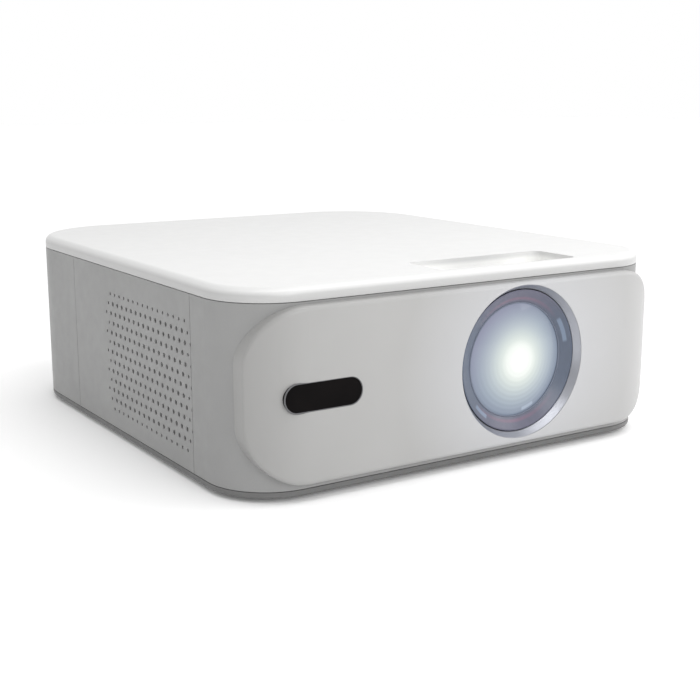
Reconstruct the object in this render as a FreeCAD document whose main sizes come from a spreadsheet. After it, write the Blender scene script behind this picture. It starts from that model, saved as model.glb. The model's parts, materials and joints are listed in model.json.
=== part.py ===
import FreeCAD, Part
import Sketcher
import math
import os
import re

# Home projector, millimetres.
# Frame: +X to the right seen from the front, the lens looks along -Y, +Z up.
# The origin lies on the surface that the feet stand on, under the centre of the box.

DIMENSIONS = {
    # case
    "width": 256.0,
    "depth": 290.0,
    "height": 98.0,
    "foot_lift": 2.0,
    "wall": 2.2,
    "front_radius": 32.0,
    "rear_radius": 52.0,
    "tray_top": 5.1,
    "joint_low": 5.4,
    "joint_high": 91.1,
    "lid_low": 91.4,
    "lid_round": 4.0,
    "tray_round": 1.4,
    "panel_front": -92.5,
    "panel_rear": 56.0,
    "panel_gap": 0.15,
    "lip_gap": 0.25,
    "lip_wall": 1.4,
    "lip_reach": 3.5,
    # raised front plate
    "proud": 5.5,
    "plate_half": 123.0,
    "plate_low": 8.4,
    "plate_high": 90.0,
    "plate_corner": 27.0,
    "plate_skin": 2.4,
    "plate_edge": 2.2,
    # sensor window
    "window_x": -88.0,
    "window_z": 49.2,
    "window_half": 20.3,
    "window_radius": 6.65,
    # lens
    "lens_x": 28.0,
    "lens_z": 50.0,
    "trim_outer": 38.6,
    "trim_inner": 36.2,
    "cell_radius": 35.8,
    "cell_bore": 34.6,
    "sleeve_inner": 36.1,
    "sleeve_outer": 37.9,
    "ring_inner": 38.2,
    "ring_radius": 42.0,
    "ring_front": -131.0,
    "ring_rear": -113.0,
    "ring_ribs": 72.0,
    "focus_travel": 3.0,
    # finger well over the focus ring
    "well_half": 43.0,
    "well_front": -134.5,
    "well_rear": -104.0,
    "well_floor": 89.2,
    "well_wall": 1.6,
    "well_corner": 4.0,
    # grille
    "hole_pitch": 6.0,
    "hole_radius": 1.2,
    "edge_hole_radius": 0.85,
    "grille_y": -41.5,
    "grille_z": 46.5,
    # light engine
    "engine_half": 56.0,
    "engine_front": -66.0,
    "engine_rear": 62.0,
    "engine_low": 14.4,
    "engine_high": 90.0,
    "engine_wall": 2.0,
    # tilting stand
    "stand_pivot_y": -104.0,
    "stand_pivot_z": 5.2,
    "stand_half": 22.0,
    "stand_length": 36.0,
    "stand_thick": 2.6,
    # tripod thread
    "tripod_radius": 2.6,
    "tripod_length": 9.0,
    # power button
    "button_x": -24.0,
    "button_z": 62.0,
    "button_radius": 5.0,
    "button_travel": 1.2,
}

doc = FreeCAD.newDocument("home_projector")
sheet = doc.addObject("Spreadsheet::Sheet", "Dims")
for row, (alias, size) in enumerate(DIMENSIONS.items(), start=1):
    sheet.set(f"A{row}", alias)
    sheet.set(f"B{row}", str(size))
    sheet.setAlias(f"B{row}", alias)
sums = doc.addObject("Spreadsheet::Sheet", "Sums")
known = {}
doc.recompute()

ALIAS = re.compile(r"\b(" + "|".join(sorted(DIMENSIONS, key=len, reverse=True)) + r")\b")
X_AXIS = FreeCAD.Vector(1, 0, 0)
Y_AXIS = FreeCAD.Vector(0, 1, 0)
Z_AXIS = FreeCAD.Vector(0, 0, 1)
TURN = {
    "X": FreeCAD.Rotation(Y_AXIS, 90),
    "Y": FreeCAD.Rotation(X_AXIS, -90),
    "Z": FreeCAD.Rotation(),
}
nodes = {}


def linked(text):
    """Write a size as an expression on the spreadsheet."""
    return ALIAS.sub(r"Dims.\1", str(text))


def number(text):
    """The present value of a size, worked out in a cell of a second sheet."""
    if text not in known:
        sums.set("A1", f"={linked(text)}")
        sums.recompute()
        known[text] = float(sums.get("A1"))
    return known[text]


def bind(obj, **sizes):
    """Tie properties of an object to the spreadsheet."""
    for name, text in sizes.items():
        obj.setExpression(name, linked(text))
    return obj


def place(obj, x=0, y=0, z=0):
    """Tie an object's position to the spreadsheet."""
    for axis, text in zip("xyz", (x, y, z)):
        obj.setExpression(f"Placement.Base.{axis}", linked(text))
    return obj


def node(obj, name):
    """Register a finished sub-part under its own name."""
    obj.Label = name
    nodes[name] = obj
    return obj


def box(name, x, y, z):
    """A block between two values along each axis."""
    block = doc.addObject("Part::Box", name)
    bind(block, Length=f"({x[1]}) - ({x[0]})", Width=f"({y[1]}) - ({y[0]})", Height=f"({z[1]}) - ({z[0]})")
    return place(block, x[0], y[0], z[0])


def rod(name, axis, radius, span, centre):
    """A cylinder along an axis, between two values on it, about the other two coordinates."""
    bar = doc.addObject("Part::Cylinder", name)
    bind(bar, Radius=radius, Height=f"({span[1]}) - ({span[0]})")
    return turn_along(bar, axis, span[0], centre)


def taper(name, axis, radii, span, centre):
    """A cone along an axis, from its first radius to its second."""
    cone = doc.addObject("Part::Cone", name)
    bind(cone, Radius1=radii[0], Radius2=radii[1], Height=f"({span[1]}) - ({span[0]})")
    return turn_along(cone, axis, span[0], centre)


def turn_along(solid, axis, start, centre):
    solid.Placement = FreeCAD.Placement(FreeCAD.Vector(), TURN[axis])
    where = {"X": (start, *centre), "Y": (centre[0], start, centre[1]), "Z": (*centre, start)}[axis]
    return place(solid, *where)


def cut(name, base, *tools):
    """Take the tools away from the base."""
    tool = tools[0]
    if len(tools) > 1:
        tool = doc.addObject("Part::Compound", name + "_tools")
        tool.Links = list(tools)
    result = doc.addObject("Part::Cut", name)
    result.Base = base
    result.Tool = tool
    return result


def fuse(name, *solids):
    """Join solids that touch into one piece."""
    result = doc.addObject("Part::MultiFuse", name)
    result.Shapes = list(solids)
    result.Refine = True
    return result


def common(name, base, tool):
    """Keep what two solids share."""
    result = doc.addObject("Part::Common", name)
    result.Base = base
    result.Tool = tool
    return result


def group(name, *solids):
    """Several separate solids that share one node."""
    result = doc.addObject("Part::Compound", name)
    result.Links = list(solids)
    return result


def tube(name, axis, radii, span, centre):
    """A round tube with an outer and an inner radius."""
    outer = rod(name + "_outer", axis, radii[0], span, centre)
    inner = rod(name + "_inner", axis, radii[1], (f"({span[0]}) - 1", f"({span[1]}) + 1"), centre)
    return cut(name, outer, inner)


def origin_plane(body, role):
    return next(plane for plane in body.Origin.OriginFeatures if plane.Role == role)


def rounded_sketch(body, name, plane, x, y, radii):
    """A rounded rectangle; its sides and its low and high corner radii follow the sheet."""
    sketch = body.newObject("Sketcher::SketchObject", name)
    sketch.AttachmentSupport = [(origin_plane(body, plane), "")]
    sketch.MapMode = "FlatFace"
    left, right = number(x[0]), number(x[1])
    low, high = number(y[0]), number(y[1])
    low_r, high_r = number(radii[0]), number(radii[1])

    def point(px, py):
        return FreeCAD.Vector(px, py, 0)

    corners = [
        (point(right - low_r, low + low_r), low_r, 1.5 * math.pi),
        (point(right - high_r, high - high_r), high_r, 0.0),
        (point(left + high_r, high - high_r), high_r, 0.5 * math.pi),
        (point(left + low_r, low + low_r), low_r, math.pi),
    ]
    sides = [
        (point(left + low_r, low), point(right - low_r, low)),
        (point(right, low + low_r), point(right, high - high_r)),
        (point(right - high_r, high), point(left + high_r, high)),
        (point(left, high - high_r), point(left, low + low_r)),
    ]
    for side, (centre, radius, start) in zip(sides, corners):
        sketch.addGeometry(Part.LineSegment(*side), False)
        circle = Part.Circle(centre, FreeCAD.Vector(0, 0, 1), radius)
        sketch.addGeometry(Part.ArcOfCircle(circle, start, start + 0.5 * math.pi), False)
    for index in range(0, 8, 2):
        sketch.addConstraint(Sketcher.Constraint("Tangent", index, 2, index + 1, 1))
        sketch.addConstraint(Sketcher.Constraint("Tangent", index + 1, 2, (index + 2) % 8, 1))
    for index, kind in ((0, "Horizontal"), (2, "Vertical"), (4, "Horizontal"), (6, "Vertical")):
        sketch.addConstraint(Sketcher.Constraint(kind, index))
    for index, radius in ((1, radii[0]), (7, radii[0]), (3, radii[1]), (5, radii[1])):
        at = sketch.addConstraint(Sketcher.Constraint("Radius", index, number(radius)))
        sketch.setExpression(f"Constraints[{at}]", linked(radius))
    for index, kind, value in ((6, "DistanceX", x[0]), (2, "DistanceX", x[1]),
                               (0, "DistanceY", y[0]), (4, "DistanceY", y[1])):
        at = sketch.addConstraint(Sketcher.Constraint(kind, -1, 1, index, 1, number(value)))
        sketch.setExpression(f"Constraints[{at}]", linked(value))
    return sketch


def prism(name, x, y, z, radii):
    """A rounded rectangle in plan, padded upwards."""
    body = doc.addObject("PartDesign::Body", name)
    sketch = rounded_sketch(body, name + "_outline", "XY_Plane", x, y, radii)
    pad = body.newObject("PartDesign::Pad", name + "_pad")
    pad.Profile = sketch
    bind(pad, Length=f"({z[1]}) - ({z[0]})")
    sketch.setExpression("AttachmentOffset.Base.z", linked(z[0]))
    return body


def slab(name, x, y, z, radius):
    """A rounded rectangle seen from the front, padded along Y."""
    body = doc.addObject("PartDesign::Body", name)
    sketch = rounded_sketch(body, name + "_outline", "XZ_Plane", x, z, (radius, radius))
    pad = body.newObject("PartDesign::Pad", name + "_pad")
    pad.Profile = sketch
    bind(pad, Length=f"({y[1]}) - ({y[0]})")
    pad.Reversed = True
    sketch.setExpression("AttachmentOffset.Base.z", linked(f"-({y[0]})"))
    return body


def outline(name, inset, z):
    """The case's plan outline, moved inwards by an inset, between two heights."""
    x = (f"-width / 2 + ({inset})", f"width / 2 - ({inset})")
    y = (f"-depth / 2 + proud + ({inset})", f"depth / 2 - ({inset})")
    radii = (f"front_radius - ({inset})", f"rear_radius - ({inset})")
    return prism(name, x, y, z, radii)


def wall_ring(name, outer, inner, z):
    """An upright wall that follows the case's outline."""
    return cut(name, outline(name + "_out", outer, z),
               outline(name + "_in", inner, (f"({z[0]}) - 1", f"({z[1]}) + 1")))


def rounded_edges(name, solid, radius, wanted):
    """Round the edges that a test picks by their middle point and direction."""
    doc.recompute()
    result = doc.addObject("Part::Fillet", name)
    result.Base = solid
    size = number(radius)
    picked = []
    for index, edge in enumerate(solid.Shape.Edges, start=1):
        middle = edge.valueAt((edge.FirstParameter + edge.LastParameter) / 2)
        if wanted(edge, middle):
            picked.append((index, size, size))
    result.Edges = picked
    return result


def copies(name, make, places):
    """Make the same solid at each place."""
    return [make(f"{name}_{index}", *place_) for index, place_ in enumerate(places, start=1)]


LENS = ("lens_x", "lens_z")
FRONT = "-depth / 2 + proud"


def screw(name, x, y, z, length=8, head=2.6, shank=1.25):
    """A pan-head screw that points down from its head."""
    cap = rod(name + "_head", "Z", head, (f"{z}", f"{z} + 1.8"), (x, y))
    stem = rod(name + "_stem", "Z", shank, (f"{z} - {length}", f"{z} + 0.1"), (x, y))
    slot = box(name + "_slot", (f"{x} - 1.6", f"{x} + 1.6"), (f"{y} - 0.35", f"{y} + 0.35"),
               (f"{z} + 1", f"{z} + 2"))
    cross = box(name + "_cross", (f"{x} - 0.35", f"{x} + 0.35"), (f"{y} - 1.6", f"{y} + 1.6"),
                (f"{z} + 1", f"{z} + 2"))
    return cut(name, fuse(name + "_blank", cap, stem), slot, cross)


# --- case -------------------------------------------------------------------------------

CASE_SCREWS = ((-56, -122), (88, -120), (-115, 64), (104, 84))


def make_lid():
    """The white top: a rounded cover with a finger well over the focus ring."""
    block = outline("lid_block", 0, ("lid_low", "height"))
    top_edge = rounded_edges("lid_rounded", block, "lid_round",
                             lambda edge, middle: middle.z > number("height") - 0.01)
    hollow = outline("lid_hollow", "wall", ("lid_low - 1", "height - 2.4"))
    shell = cut("lid_shell", top_edge, hollow)
    lip = wall_ring("lid_lip", "wall + lip_gap", "wall + lip_gap + lip_wall",
                    ("lid_low - lip_reach", "height - 2"))
    x = ("lens_x - well_half - well_wall", "lens_x + well_half + well_wall")
    y = ("well_front - well_wall", "well_rear + well_wall")
    radii = ("well_corner + well_wall", "well_corner + well_wall")
    well = prism("lid_well", x, y, ("well_floor - well_wall", "height - 1"), radii)
    posts = copies("lid_post", lambda name, px,
                   py: rod(name, "Z", 4, ("tray_top + 20", "height - 2"), (px, py)), CASE_SCREWS)
    whole = fuse("lid_whole", shell, lip, well, *posts)
    x = ("lens_x - well_half", "lens_x + well_half")
    pocket = prism("lid_pocket", x, ("well_front", "well_rear"), ("well_floor", "height + 1"),
                   ("well_corner", "well_corner"))
    slot = box("lid_slot", ("lens_x - 21", "lens_x + 21"), ("ring_front - 2.3", "ring_rear + 4.5"),
               ("well_floor - 5", "well_floor + 1"))
    bores = copies("lid_bore", lambda name, px,
                   py: rod(name, "Z", 1.25, ("tray_top + 19", "tray_top + 34"), (px, py)), CASE_SCREWS)
    relief = rod("lid_relief", "Y", "sleeve_outer + 0.5", ("well_front - 3", "well_rear + 3"), LENS)
    node(cut("lid", whole, pocket, slot, relief, *bores), "top_cover")


def make_front_shell():
    """The grey front wall with both front corners."""
    ring = wall_ring("front_ring", 0, "wall", ("joint_low", "joint_high"))
    zone = box("front_zone", ("-width", "width"), ("-depth", "panel_front - panel_gap"), (0, "height"))
    half = common("front_half", ring, zone)
    hole = rod("front_lens_hole", "Y", "trim_outer + 1.4", ("-depth", "-depth / 2 + 20"), LENS)
    x = ("window_x - 15", "window_x + 15")
    window = slab("front_window_hole", x, ("-depth", "-depth / 2 + 20"),
                  ("window_z - 4.5", "window_z + 4.5"), 4)
    node(cut("front", half, hole, window), "front_shell")


def make_rear_shell():
    """The grey rear wall with both rear corners, the outlet slots and the sockets' openings."""
    ring = wall_ring("rear_ring", 0, "wall", ("joint_low", "joint_high"))
    zone = box("rear_zone", ("-width", "width"), ("panel_rear + panel_gap", "depth"), (0, "height"))
    half = common("rear_half", ring, zone)
    deep = ("depth / 2 - 20", "depth")
    slots = []
    for column in range(4):
        for level in range(13):
            left = f"lens_x - 38 + {column * 19.4:g}"
            low = 16 + 5.4 * level
            slots.append(slab(f"rear_slot_{column}_{level}", (left, f"{left} + 17.4"), deep,
                              (low, low + 2.6), 1.29))
    openings = [slab(f"rear_{name}_hole", x, deep, z, radius) for name, x, z, radius in SOCKET_HOLES]
    button = rod("rear_button_hole", "Y", "button_radius + 0.3", deep, ("button_x", "button_z"))
    jack = rod("rear_jack_hole", "Y", 3.4, deep, (-15, 18.4))
    node(cut("rear", half, *slots, *openings, button, jack), "rear_shell")


SOCKET_HOLES = (
    ("power", (-73.2, -50.8), (50.4, 69.6), 2),
    ("hdmi", (-69.9, -54.1), (14.9, 22.1), 1),
    ("usb", (-43.9, -29.5), (14.1, 22.3), 0.8),
)


def hole_places():
    """The staggered grille: rows of 18 and 17 holes, 16 in the first and last row."""
    pitch = number("hole_pitch")
    rise = pitch * math.sqrt(3) / 2
    for line in range(13):
        count = 16 if line in (0, 12) else 18 - line % 2
        for index in range(count):
            edge = line in (0, 12) or index in (0, count - 1)
            along = (index - (count - 1) / 2) * pitch
            yield number("grille_y") + along, number("grille_z") + (line - 6) * rise, edge


def hole_pins(name, side):
    """The drills for one grille, as one tool."""
    start = FreeCAD.Vector(side * number("width") / 2 - side * number("wall") * 2, 0, 0)
    reach = number("wall") * 4
    pins = []
    for y, z, edge in hole_places():
        radius = number("edge_hole_radius") if edge else number("hole_radius")
        place_ = FreeCAD.Vector(start.x, y, z)
        pins.append(Part.makeCylinder(radius, reach, place_, FreeCAD.Vector(side, 0, 0)))
    tool = doc.addObject("Part::Feature", name)
    tool.Shape = Part.makeCompound(pins)
    return tool


def make_side_panel(name, side):
    """A flat side wall with its grille."""
    x = ("width / 2 - wall", "width / 2") if side > 0 else ("-width / 2", "-width / 2 + wall")
    flat = box(name + "_flat", x, ("panel_front + panel_gap", "panel_rear - panel_gap"),
               ("joint_low", "joint_high"))
    node(cut(name + "_pierced", flat, hole_pins(name + "_holes", side)), name)


def make_tray():
    """The bottom tray: a rounded floor with a lip, screw posts and the stand's pocket."""
    block = outline("tray_block", 0, ("foot_lift", "tray_top"))
    soft = rounded_edges("tray_rounded", block, "tray_round",
                         lambda edge, middle: middle.z < number("foot_lift") + 0.01)
    hollow = outline("tray_hollow", "wall", ("foot_lift + 2.2", "tray_top + 1"))
    shell = cut("tray_shell", soft, hollow)
    lip = wall_ring("tray_lip", "wall + lip_gap", "wall + lip_gap + lip_wall",
                    ("foot_lift + 2", "tray_top + lip_reach"))
    posts = copies("tray_post", lambda name, px,
                   py: rod(name, "Z", 5, ("foot_lift + 2", "tray_top + 19.8"), (px, py)), CASE_SCREWS)
    boss = rod("tray_boss", "Z", 8, ("foot_lift + 2", "foot_lift + 12"), (0, 0))
    x = ("-stand_half - 2.4", "stand_half + 2.4")
    y = ("stand_pivot_y - 5.2", "stand_pivot_y + stand_length + 3.4")
    well = prism("tray_well", x, y, ("foot_lift", "foot_lift + 8.4"), (2, 2))
    stands = copies("tray_stand", lambda name, px,
                    py: rod(name, "Z", 3, ("foot_lift + 2", 11.98), (px, py)), BOARD_SCREWS)
    taps = copies("tray_tap", lambda name, px, py: rod(name, "Z", 1.3, ("foot_lift + 3", 13), (px, py)),
                  BOARD_SCREWS)
    whole = fuse("tray_whole", shell, lip, boss, well, *posts, *stands)
    x = ("-stand_half - 0.6", "stand_half + 0.6")
    y = ("stand_pivot_y - 3.3", "stand_pivot_y + stand_length + 1.6")
    pocket = prism("tray_pocket", x, y, ("foot_lift - 1", "foot_lift + 6.6"), (0.8, 0.8))
    pin = rod("tray_pin_hole", "X", 1.0, ("-stand_half - 2.2", "stand_half + 2.2"),
              ("stand_pivot_y", "stand_pivot_z"))
    bores = copies("tray_bore", lambda name, px,
                   py: rod(name, "Z", 1.6, ("foot_lift - 1", "height / 2"), (px, py)), CASE_SCREWS)
    sinks = copies("tray_sink", lambda name, px,
                   py: rod(name, "Z", 3.1, ("foot_lift - 1", "foot_lift + 14"), (px, py)), CASE_SCREWS)
    insert = rod("tray_insert_hole", "Z", 5, ("foot_lift - 1", "foot_lift + 9.4"), (0, 0))
    feet = copies("tray_foot", lambda name, px,
                  py: rod(name, "Z", 8.1, ("foot_lift - 1", "foot_lift + 0.6"), (px, py)), FEET)
    node(cut("tray", whole, pocket, pin, insert, *bores, *sinks, *feet, *taps), "bottom_tray")


FEET = ((-102, -96), (102, -96), (-84, 106), (84, 106))


def make_feet():
    """Four rubber feet with a rounded rim, stuck into shallow seats."""
    def foot(name, px, py):
        disc = rod(name + "_disc", "Z", 8, (0, "foot_lift + 0.6"), (px, py))
        return rounded_edges(name, disc, 0.8, lambda edge, middle: middle.z < 0.01)
    node(group("feet", *copies("foot", foot, FEET)), "rubber_feet")


def make_case_screws():
    """Four long screws through the tray's posts into the cover's posts."""
    screws = []
    for index, (px, py) in enumerate(CASE_SCREWS, start=1):
        head = rod(f"case_screw_head_{index}", "Z", 2.8, ("foot_lift + 11.8", "foot_lift + 14"), (px, py))
        stem = rod(f"case_screw_stem_{index}", "Z", 1.2, ("foot_lift + 13.9", "tray_top + 32"), (px, py))
        recess = box(f"case_screw_slot_{index}", (f"{px} - 1.8", f"{px} + 1.8"),
                     (f"{py} - 0.4", f"{py} + 0.4"),
                     ("foot_lift + 11", "foot_lift + 12.9"))
        screws.append(cut(f"case_screw_{index}", fuse(f"case_screw_blank_{index}", head, stem), recess))
    node(group("case_screw_set", *screws), "case_screws")


def make_front_plate():
    """The raised plate on the front, which follows the case round both corners."""
    across = ("-plate_half", "plate_half")
    face = slab("plate_face", across, ("-depth", "-depth / 2 + 60"), ("plate_low", "plate_high"),
                "plate_corner")
    skin = outline("plate_skin_out", "-proud", (0, "height"))
    raised = common("plate_raised", face, skin)
    doc.recompute()
    front = rounded_edges("plate_soft", raised, "plate_edge",
                          lambda line, middle: on_outline(middle, -number("proud")))
    back = outline("plate_back", 0, (0, "height"))
    solid = cut("plate_solid", front, back)
    inner_face = slab("plate_inner_face", ("-plate_half + 2.2", "plate_half - 2.2"),
                      ("-depth", "-depth / 2 + 60"),
                      ("plate_low + 2.2", "plate_high - 2.2"), "plate_corner - 2.2")
    inner_skin = outline("plate_inner_skin", "-proud + plate_skin", (0, "height"))
    hollow = common("plate_hollow", inner_face, inner_skin)
    hole = rod("plate_lens_hole", "Y", "trim_outer + 0.1", ("-depth", 0), LENS)
    rim = rod("plate_lens_boss", "Y", "trim_outer + 2.4", ("-depth", "-depth / 2 + proud - 0.1"), LENS)
    window = window_slab("plate_window_hole", 0.1, ("-depth", 0))
    collar = window_slab("plate_window_boss", 1.8, ("-depth", "-depth / 2 + proud - 0.1"))
    ribs = common("plate_ribs", fuse("plate_collars", rim, collar), cut("plate_limit", front, back))
    node(cut("plate", fuse("plate_ribbed", cut("plate_thin", solid, hollow), ribs), hole, window),
         "front_plate")


def on_outline(middle, inset):
    """Whether a point lies on the case outline moved inwards by an inset, at the front."""
    half = number("width / 2") - inset
    radius = number("front_radius") - inset
    front = number(FRONT) + inset
    centre_x = half - radius
    centre_y = front + radius
    if abs(middle.x) <= centre_x:
        return abs(middle.y - front) < 0.02
    reach = math.hypot(abs(middle.x) - centre_x, middle.y - centre_y)
    return middle.y < centre_y and abs(reach - radius) < 0.02


def window_slab(name, grow, y):
    """The sensor window's stadium outline, grown by a margin."""
    x = (f"window_x - window_half - ({grow})", f"window_x + window_half + ({grow})")
    z = (f"window_z - window_radius - ({grow})", f"window_z + window_radius + ({grow})")
    return slab(name, x, y, z, f"window_radius + ({grow}) - 0.01")


def make_sensor_window():
    """The dark window over the receivers, flush with the plate."""
    pane = window_slab("window_pane", 0, ("-depth / 2 + 0.4", "-depth / 2 + 3"))
    node(rounded_edges("window_soft", pane, 0.3,
                       lambda edge, middle: middle.y < number("-depth / 2 + 0.41")), "sensor_window")


# --- lens -------------------------------------------------------------------------------

def make_trim_ring():
    """The bevelled ring that frames the lens in the front plate."""
    blank = rod("trim_blank", "Y", "trim_outer", ("-depth / 2 + 0.2", "-depth / 2 + 7"), LENS)
    bore = rod("trim_bore", "Y", "trim_inner", ("-depth", 0), LENS)
    bevel = taper("trim_bevel", "Y", ("trim_outer + 0.13", "trim_inner"),
                  ("-depth / 2", "-depth / 2 + 3.8"), LENS)
    relief = rod("trim_relief", "Y", "trim_outer - 1.2", ("-depth / 2 + 4.4", 0), LENS)
    flange = tube("trim_flange", "Y", ("trim_outer + 1.1", "trim_outer - 1.2"),
                  ("-depth / 2 + 5.6", "-depth / 2 + 7"), LENS)
    node(fuse("trim", cut("trim_ring", blank, bore, bevel, relief), flange), "lens_trim_ring")


def make_lens_sleeve():
    """The fixed sleeve that the lens slides in, with its shoulder, guide slots and rear flange."""
    sleeve = tube("sleeve_tube", "Y", ("sleeve_outer", "sleeve_inner"),
                  ("ring_front - 2", "engine_front"), LENS)
    collar = tube("sleeve_collar", "Y", ("ring_radius", "sleeve_inner"),
                  ("ring_rear + 0.4", "ring_rear + 3.4"), LENS)
    x = ("lens_x - 41", "lens_x + 41")
    plate = slab("sleeve_plate", x, ("engine_front - 3", "engine_front"), ("lens_z - 38", "lens_z + 38"), 6)
    hole = rod("sleeve_hole", "Y", "sleeve_inner", ("-depth", 0), LENS)
    whole = cut("sleeve_whole", fuse("sleeve_fused", sleeve, collar, plate), hole)
    slots = []
    for index in range(3):
        slot = box(f"sleeve_slot_{index}", (-1.6, 1.6), (-126.6, -117.4),
                   ("sleeve_inner - 3", "sleeve_outer + 2"))
        spin = FreeCAD.Rotation(Y_AXIS, 60 + 120 * index)
        holder = doc.addObject("Part::Compound", f"sleeve_slot_turned_{index}")
        holder.Links = [slot]
        holder.Placement = FreeCAD.Placement(FreeCAD.Vector(), spin)
        place(holder, "lens_x", 0, "lens_z")
        slots.append(holder)
    screws = [rod(f"sleeve_screw_hole_{px}_{pz}", "Y", 1.4, ("engine_front - 4", "engine_front + 1"),
                  (f"lens_x + {px}", f"lens_z + {pz}")) for px, pz in SLEEVE_SCREWS]
    node(cut("sleeve", whole, *slots, *screws), "lens_sleeve")
    clip = tube("clip_tube", "Y", ("sleeve_outer + 2.6", "sleeve_outer + 0.02"),
                ("ring_front - 1.6", "ring_front - 0.4"), LENS)
    node(clip, "focus_ring_clip")


SLEEVE_SCREWS = ((-37, -34), (37, -34), (-37, 34), (37, 34))


def make_focus_ring():
    """The ribbed ring that a finger turns through the well in the cover."""
    doc.recompute()
    outer = number("ring_radius")
    ribs = int(number("ring_ribs"))
    low, high = number("ring_front"), number("ring_rear")
    centre = FreeCAD.Vector(number("lens_x"), low, number("lens_z"))
    blank = Part.makeCylinder(outer - 0.9, high - low, centre, Y_AXIS)
    band = Part.makeCylinder(outer, 2, centre, Y_AXIS)
    pieces = [blank, band, Part.makeCylinder(outer, 2, centre + FreeCAD.Vector(0, high - low - 2, 0),
                                             Y_AXIS)]
    rib_width = 2 * math.pi * outer / ribs / 2
    for index in range(ribs):
        rib = Part.makeBox(rib_width, high - low - 3, 3, FreeCAD.Vector(-rib_width / 2, 1.5, outer - 3.2))
        rib.rotate(FreeCAD.Vector(), Y_AXIS, 360 * index / ribs)
        rib.translate(centre)
        pieces.append(rib)
    solid = pieces[0].fuse(pieces[1:])
    solid = solid.cut(Part.makeCylinder(number("ring_inner"), 200, centre - FreeCAD.Vector(0, 50, 0),
                                        Y_AXIS))
    ring = doc.addObject("Part::Feature", "focus_ring_shape")
    ring.Shape = solid.removeSplitter()
    node(ring, "focus_ring")


def lens_element(name, label, radius, span, bulge_front, bulge_rear):
    """A round glass turned about the lens axis from a profile with two arcs.

    A hollow face has a negative bulge.
    """
    low, high, edge = number(span[0]), number(span[1]), number(radius)

    def point(along, out):
        return FreeCAD.Vector(out, along, 0)

    front_pole, front_rim = low + max(-bulge_front, 0), low + max(bulge_front, 0)
    rear_pole, rear_rim = high - max(-bulge_rear, 0), high - max(bulge_rear, 0)

    def face(pole, rim):
        """The arc from the pole to the rim of a sphere through both."""
        sag = rim - pole
        half_out = edge / 2
        ball = (edge ** 2 + sag ** 2) / (2 * sag)
        half_sag = ball - math.copysign(math.sqrt(ball ** 2 - half_out ** 2), ball)
        return Part.Arc(point(pole, 0), point(pole + half_sag, half_out), point(rim, edge)).toShape()

    edges = [
        face(front_pole, front_rim),
        Part.LineSegment(point(front_rim, edge), point(rear_rim, edge)).toShape(),
        face(rear_pole, rear_rim),
        Part.LineSegment(point(rear_pole, 0), point(front_pole, 0)).toShape(),
    ]
    profile = Part.Face(Part.Wire(Part.__sortEdges__(edges)))
    glass = doc.addObject("Part::Feature", name)
    glass.Shape = profile.revolve(FreeCAD.Vector(), Y_AXIS, 360)
    glass.Placement.Base = FreeCAD.Vector(number("lens_x"), 0, number("lens_z"))
    node(glass, label)


def make_lens_cell():
    """The sliding lens: its barrel, three drive pins, the baffle, four glasses and the rear ring."""
    tube_ = rod("cell_outer", "Y", "cell_radius", (-139.6, -78), LENS)
    bezel = cut("cell_bezel", rod("bezel_blank", "Y", "cell_radius", (-141.4, -138.4), LENS),
                taper("bezel_cone", "Y", ("cell_radius - 0.6", 29.2), (-141.42, -138.6), LENS),
                rod("bezel_bore", "Y", 29.2, (-142, -138), LENS))
    bores = [rod(f"cell_bore_{index}", "Y", radius, span, LENS) for index, (radius, span) in enumerate((
        ("cell_bore", (-141, -128.9)), (33.5, (-129, -115.2)), (27.6, (-115.3, -104)),
        (24.6, (-104.1, -95)), (28, (-95.1, -77))))]
    pin_holes = [turned_pin(f"cell_pin_hole_{index}", index, 1.2, (30, 42)) for index in range(3)]
    barrel = cut("cell_bored", tube_, *bores, *pin_holes)
    node(fuse("cell", barrel, bezel), "lens_barrel")
    pins = [turned_pin(f"cell_pin_{index}", index, 1.19, (33.6, 37.7)) for index in range(3)]
    node(group("cell_pins", *pins), "focus_drive_pins")
    baffle = rod("baffle_blank", "Y", 33.45, (-128.8, -115.25), LENS)
    steps = [rod(f"baffle_step_{index}", "Y", 32.6 - 1.1 * index, (-130, -126.6 + 2 * index), LENS)
             for index in range(6)]
    opening = rod("baffle_opening", "Y", 26, (-130, -110), LENS)
    node(cut("baffle", baffle, *steps, opening), "lens_baffle")
    lens_element("glass_front", "front_lens", 34.55, (-141.8, -128.92), 5.5, 0.6)
    lens_element("glass_second", "second_lens", 27.5, (-115.1, -104.02), 3.5, 1.2)
    lens_element("glass_third", "third_lens", 24.5, (-103.9, -95.2), 1.4, 2)
    lens_element("glass_rear", "rear_lens", 27.9, (-94.98, -84.7), 2, 3.5)
    node(tube("rear_ring_tube", "Y", (27.95, 25), (-87.4, -81), LENS), "rear_retaining_ring")


def turned_pin(name, index, radius, span):
    """A radial pin in the lens barrel, at its turn about the lens axis."""
    pin = rod(name + "_pin", "Z", radius, span, (0, -122))
    holder = doc.addObject("Part::Compound", name)
    holder.Links = [pin]
    holder.Placement = FreeCAD.Placement(FreeCAD.Vector(), FreeCAD.Rotation(Y_AXIS, 60 + 120 * index))
    return place(holder, "lens_x", 0, "lens_z")


# --- light engine -----------------------------------------------------------------------

ENGINE_X = ("lens_x - engine_half", "lens_x + engine_half")
LCD_HALF_X = 49
LCD_HALF_Z = 29
SHEET_GROOVES = ((-21.2, -18.8), (-14.2, -8.8), (-1.2, 1.7), (10.8, 13.2))


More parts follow.
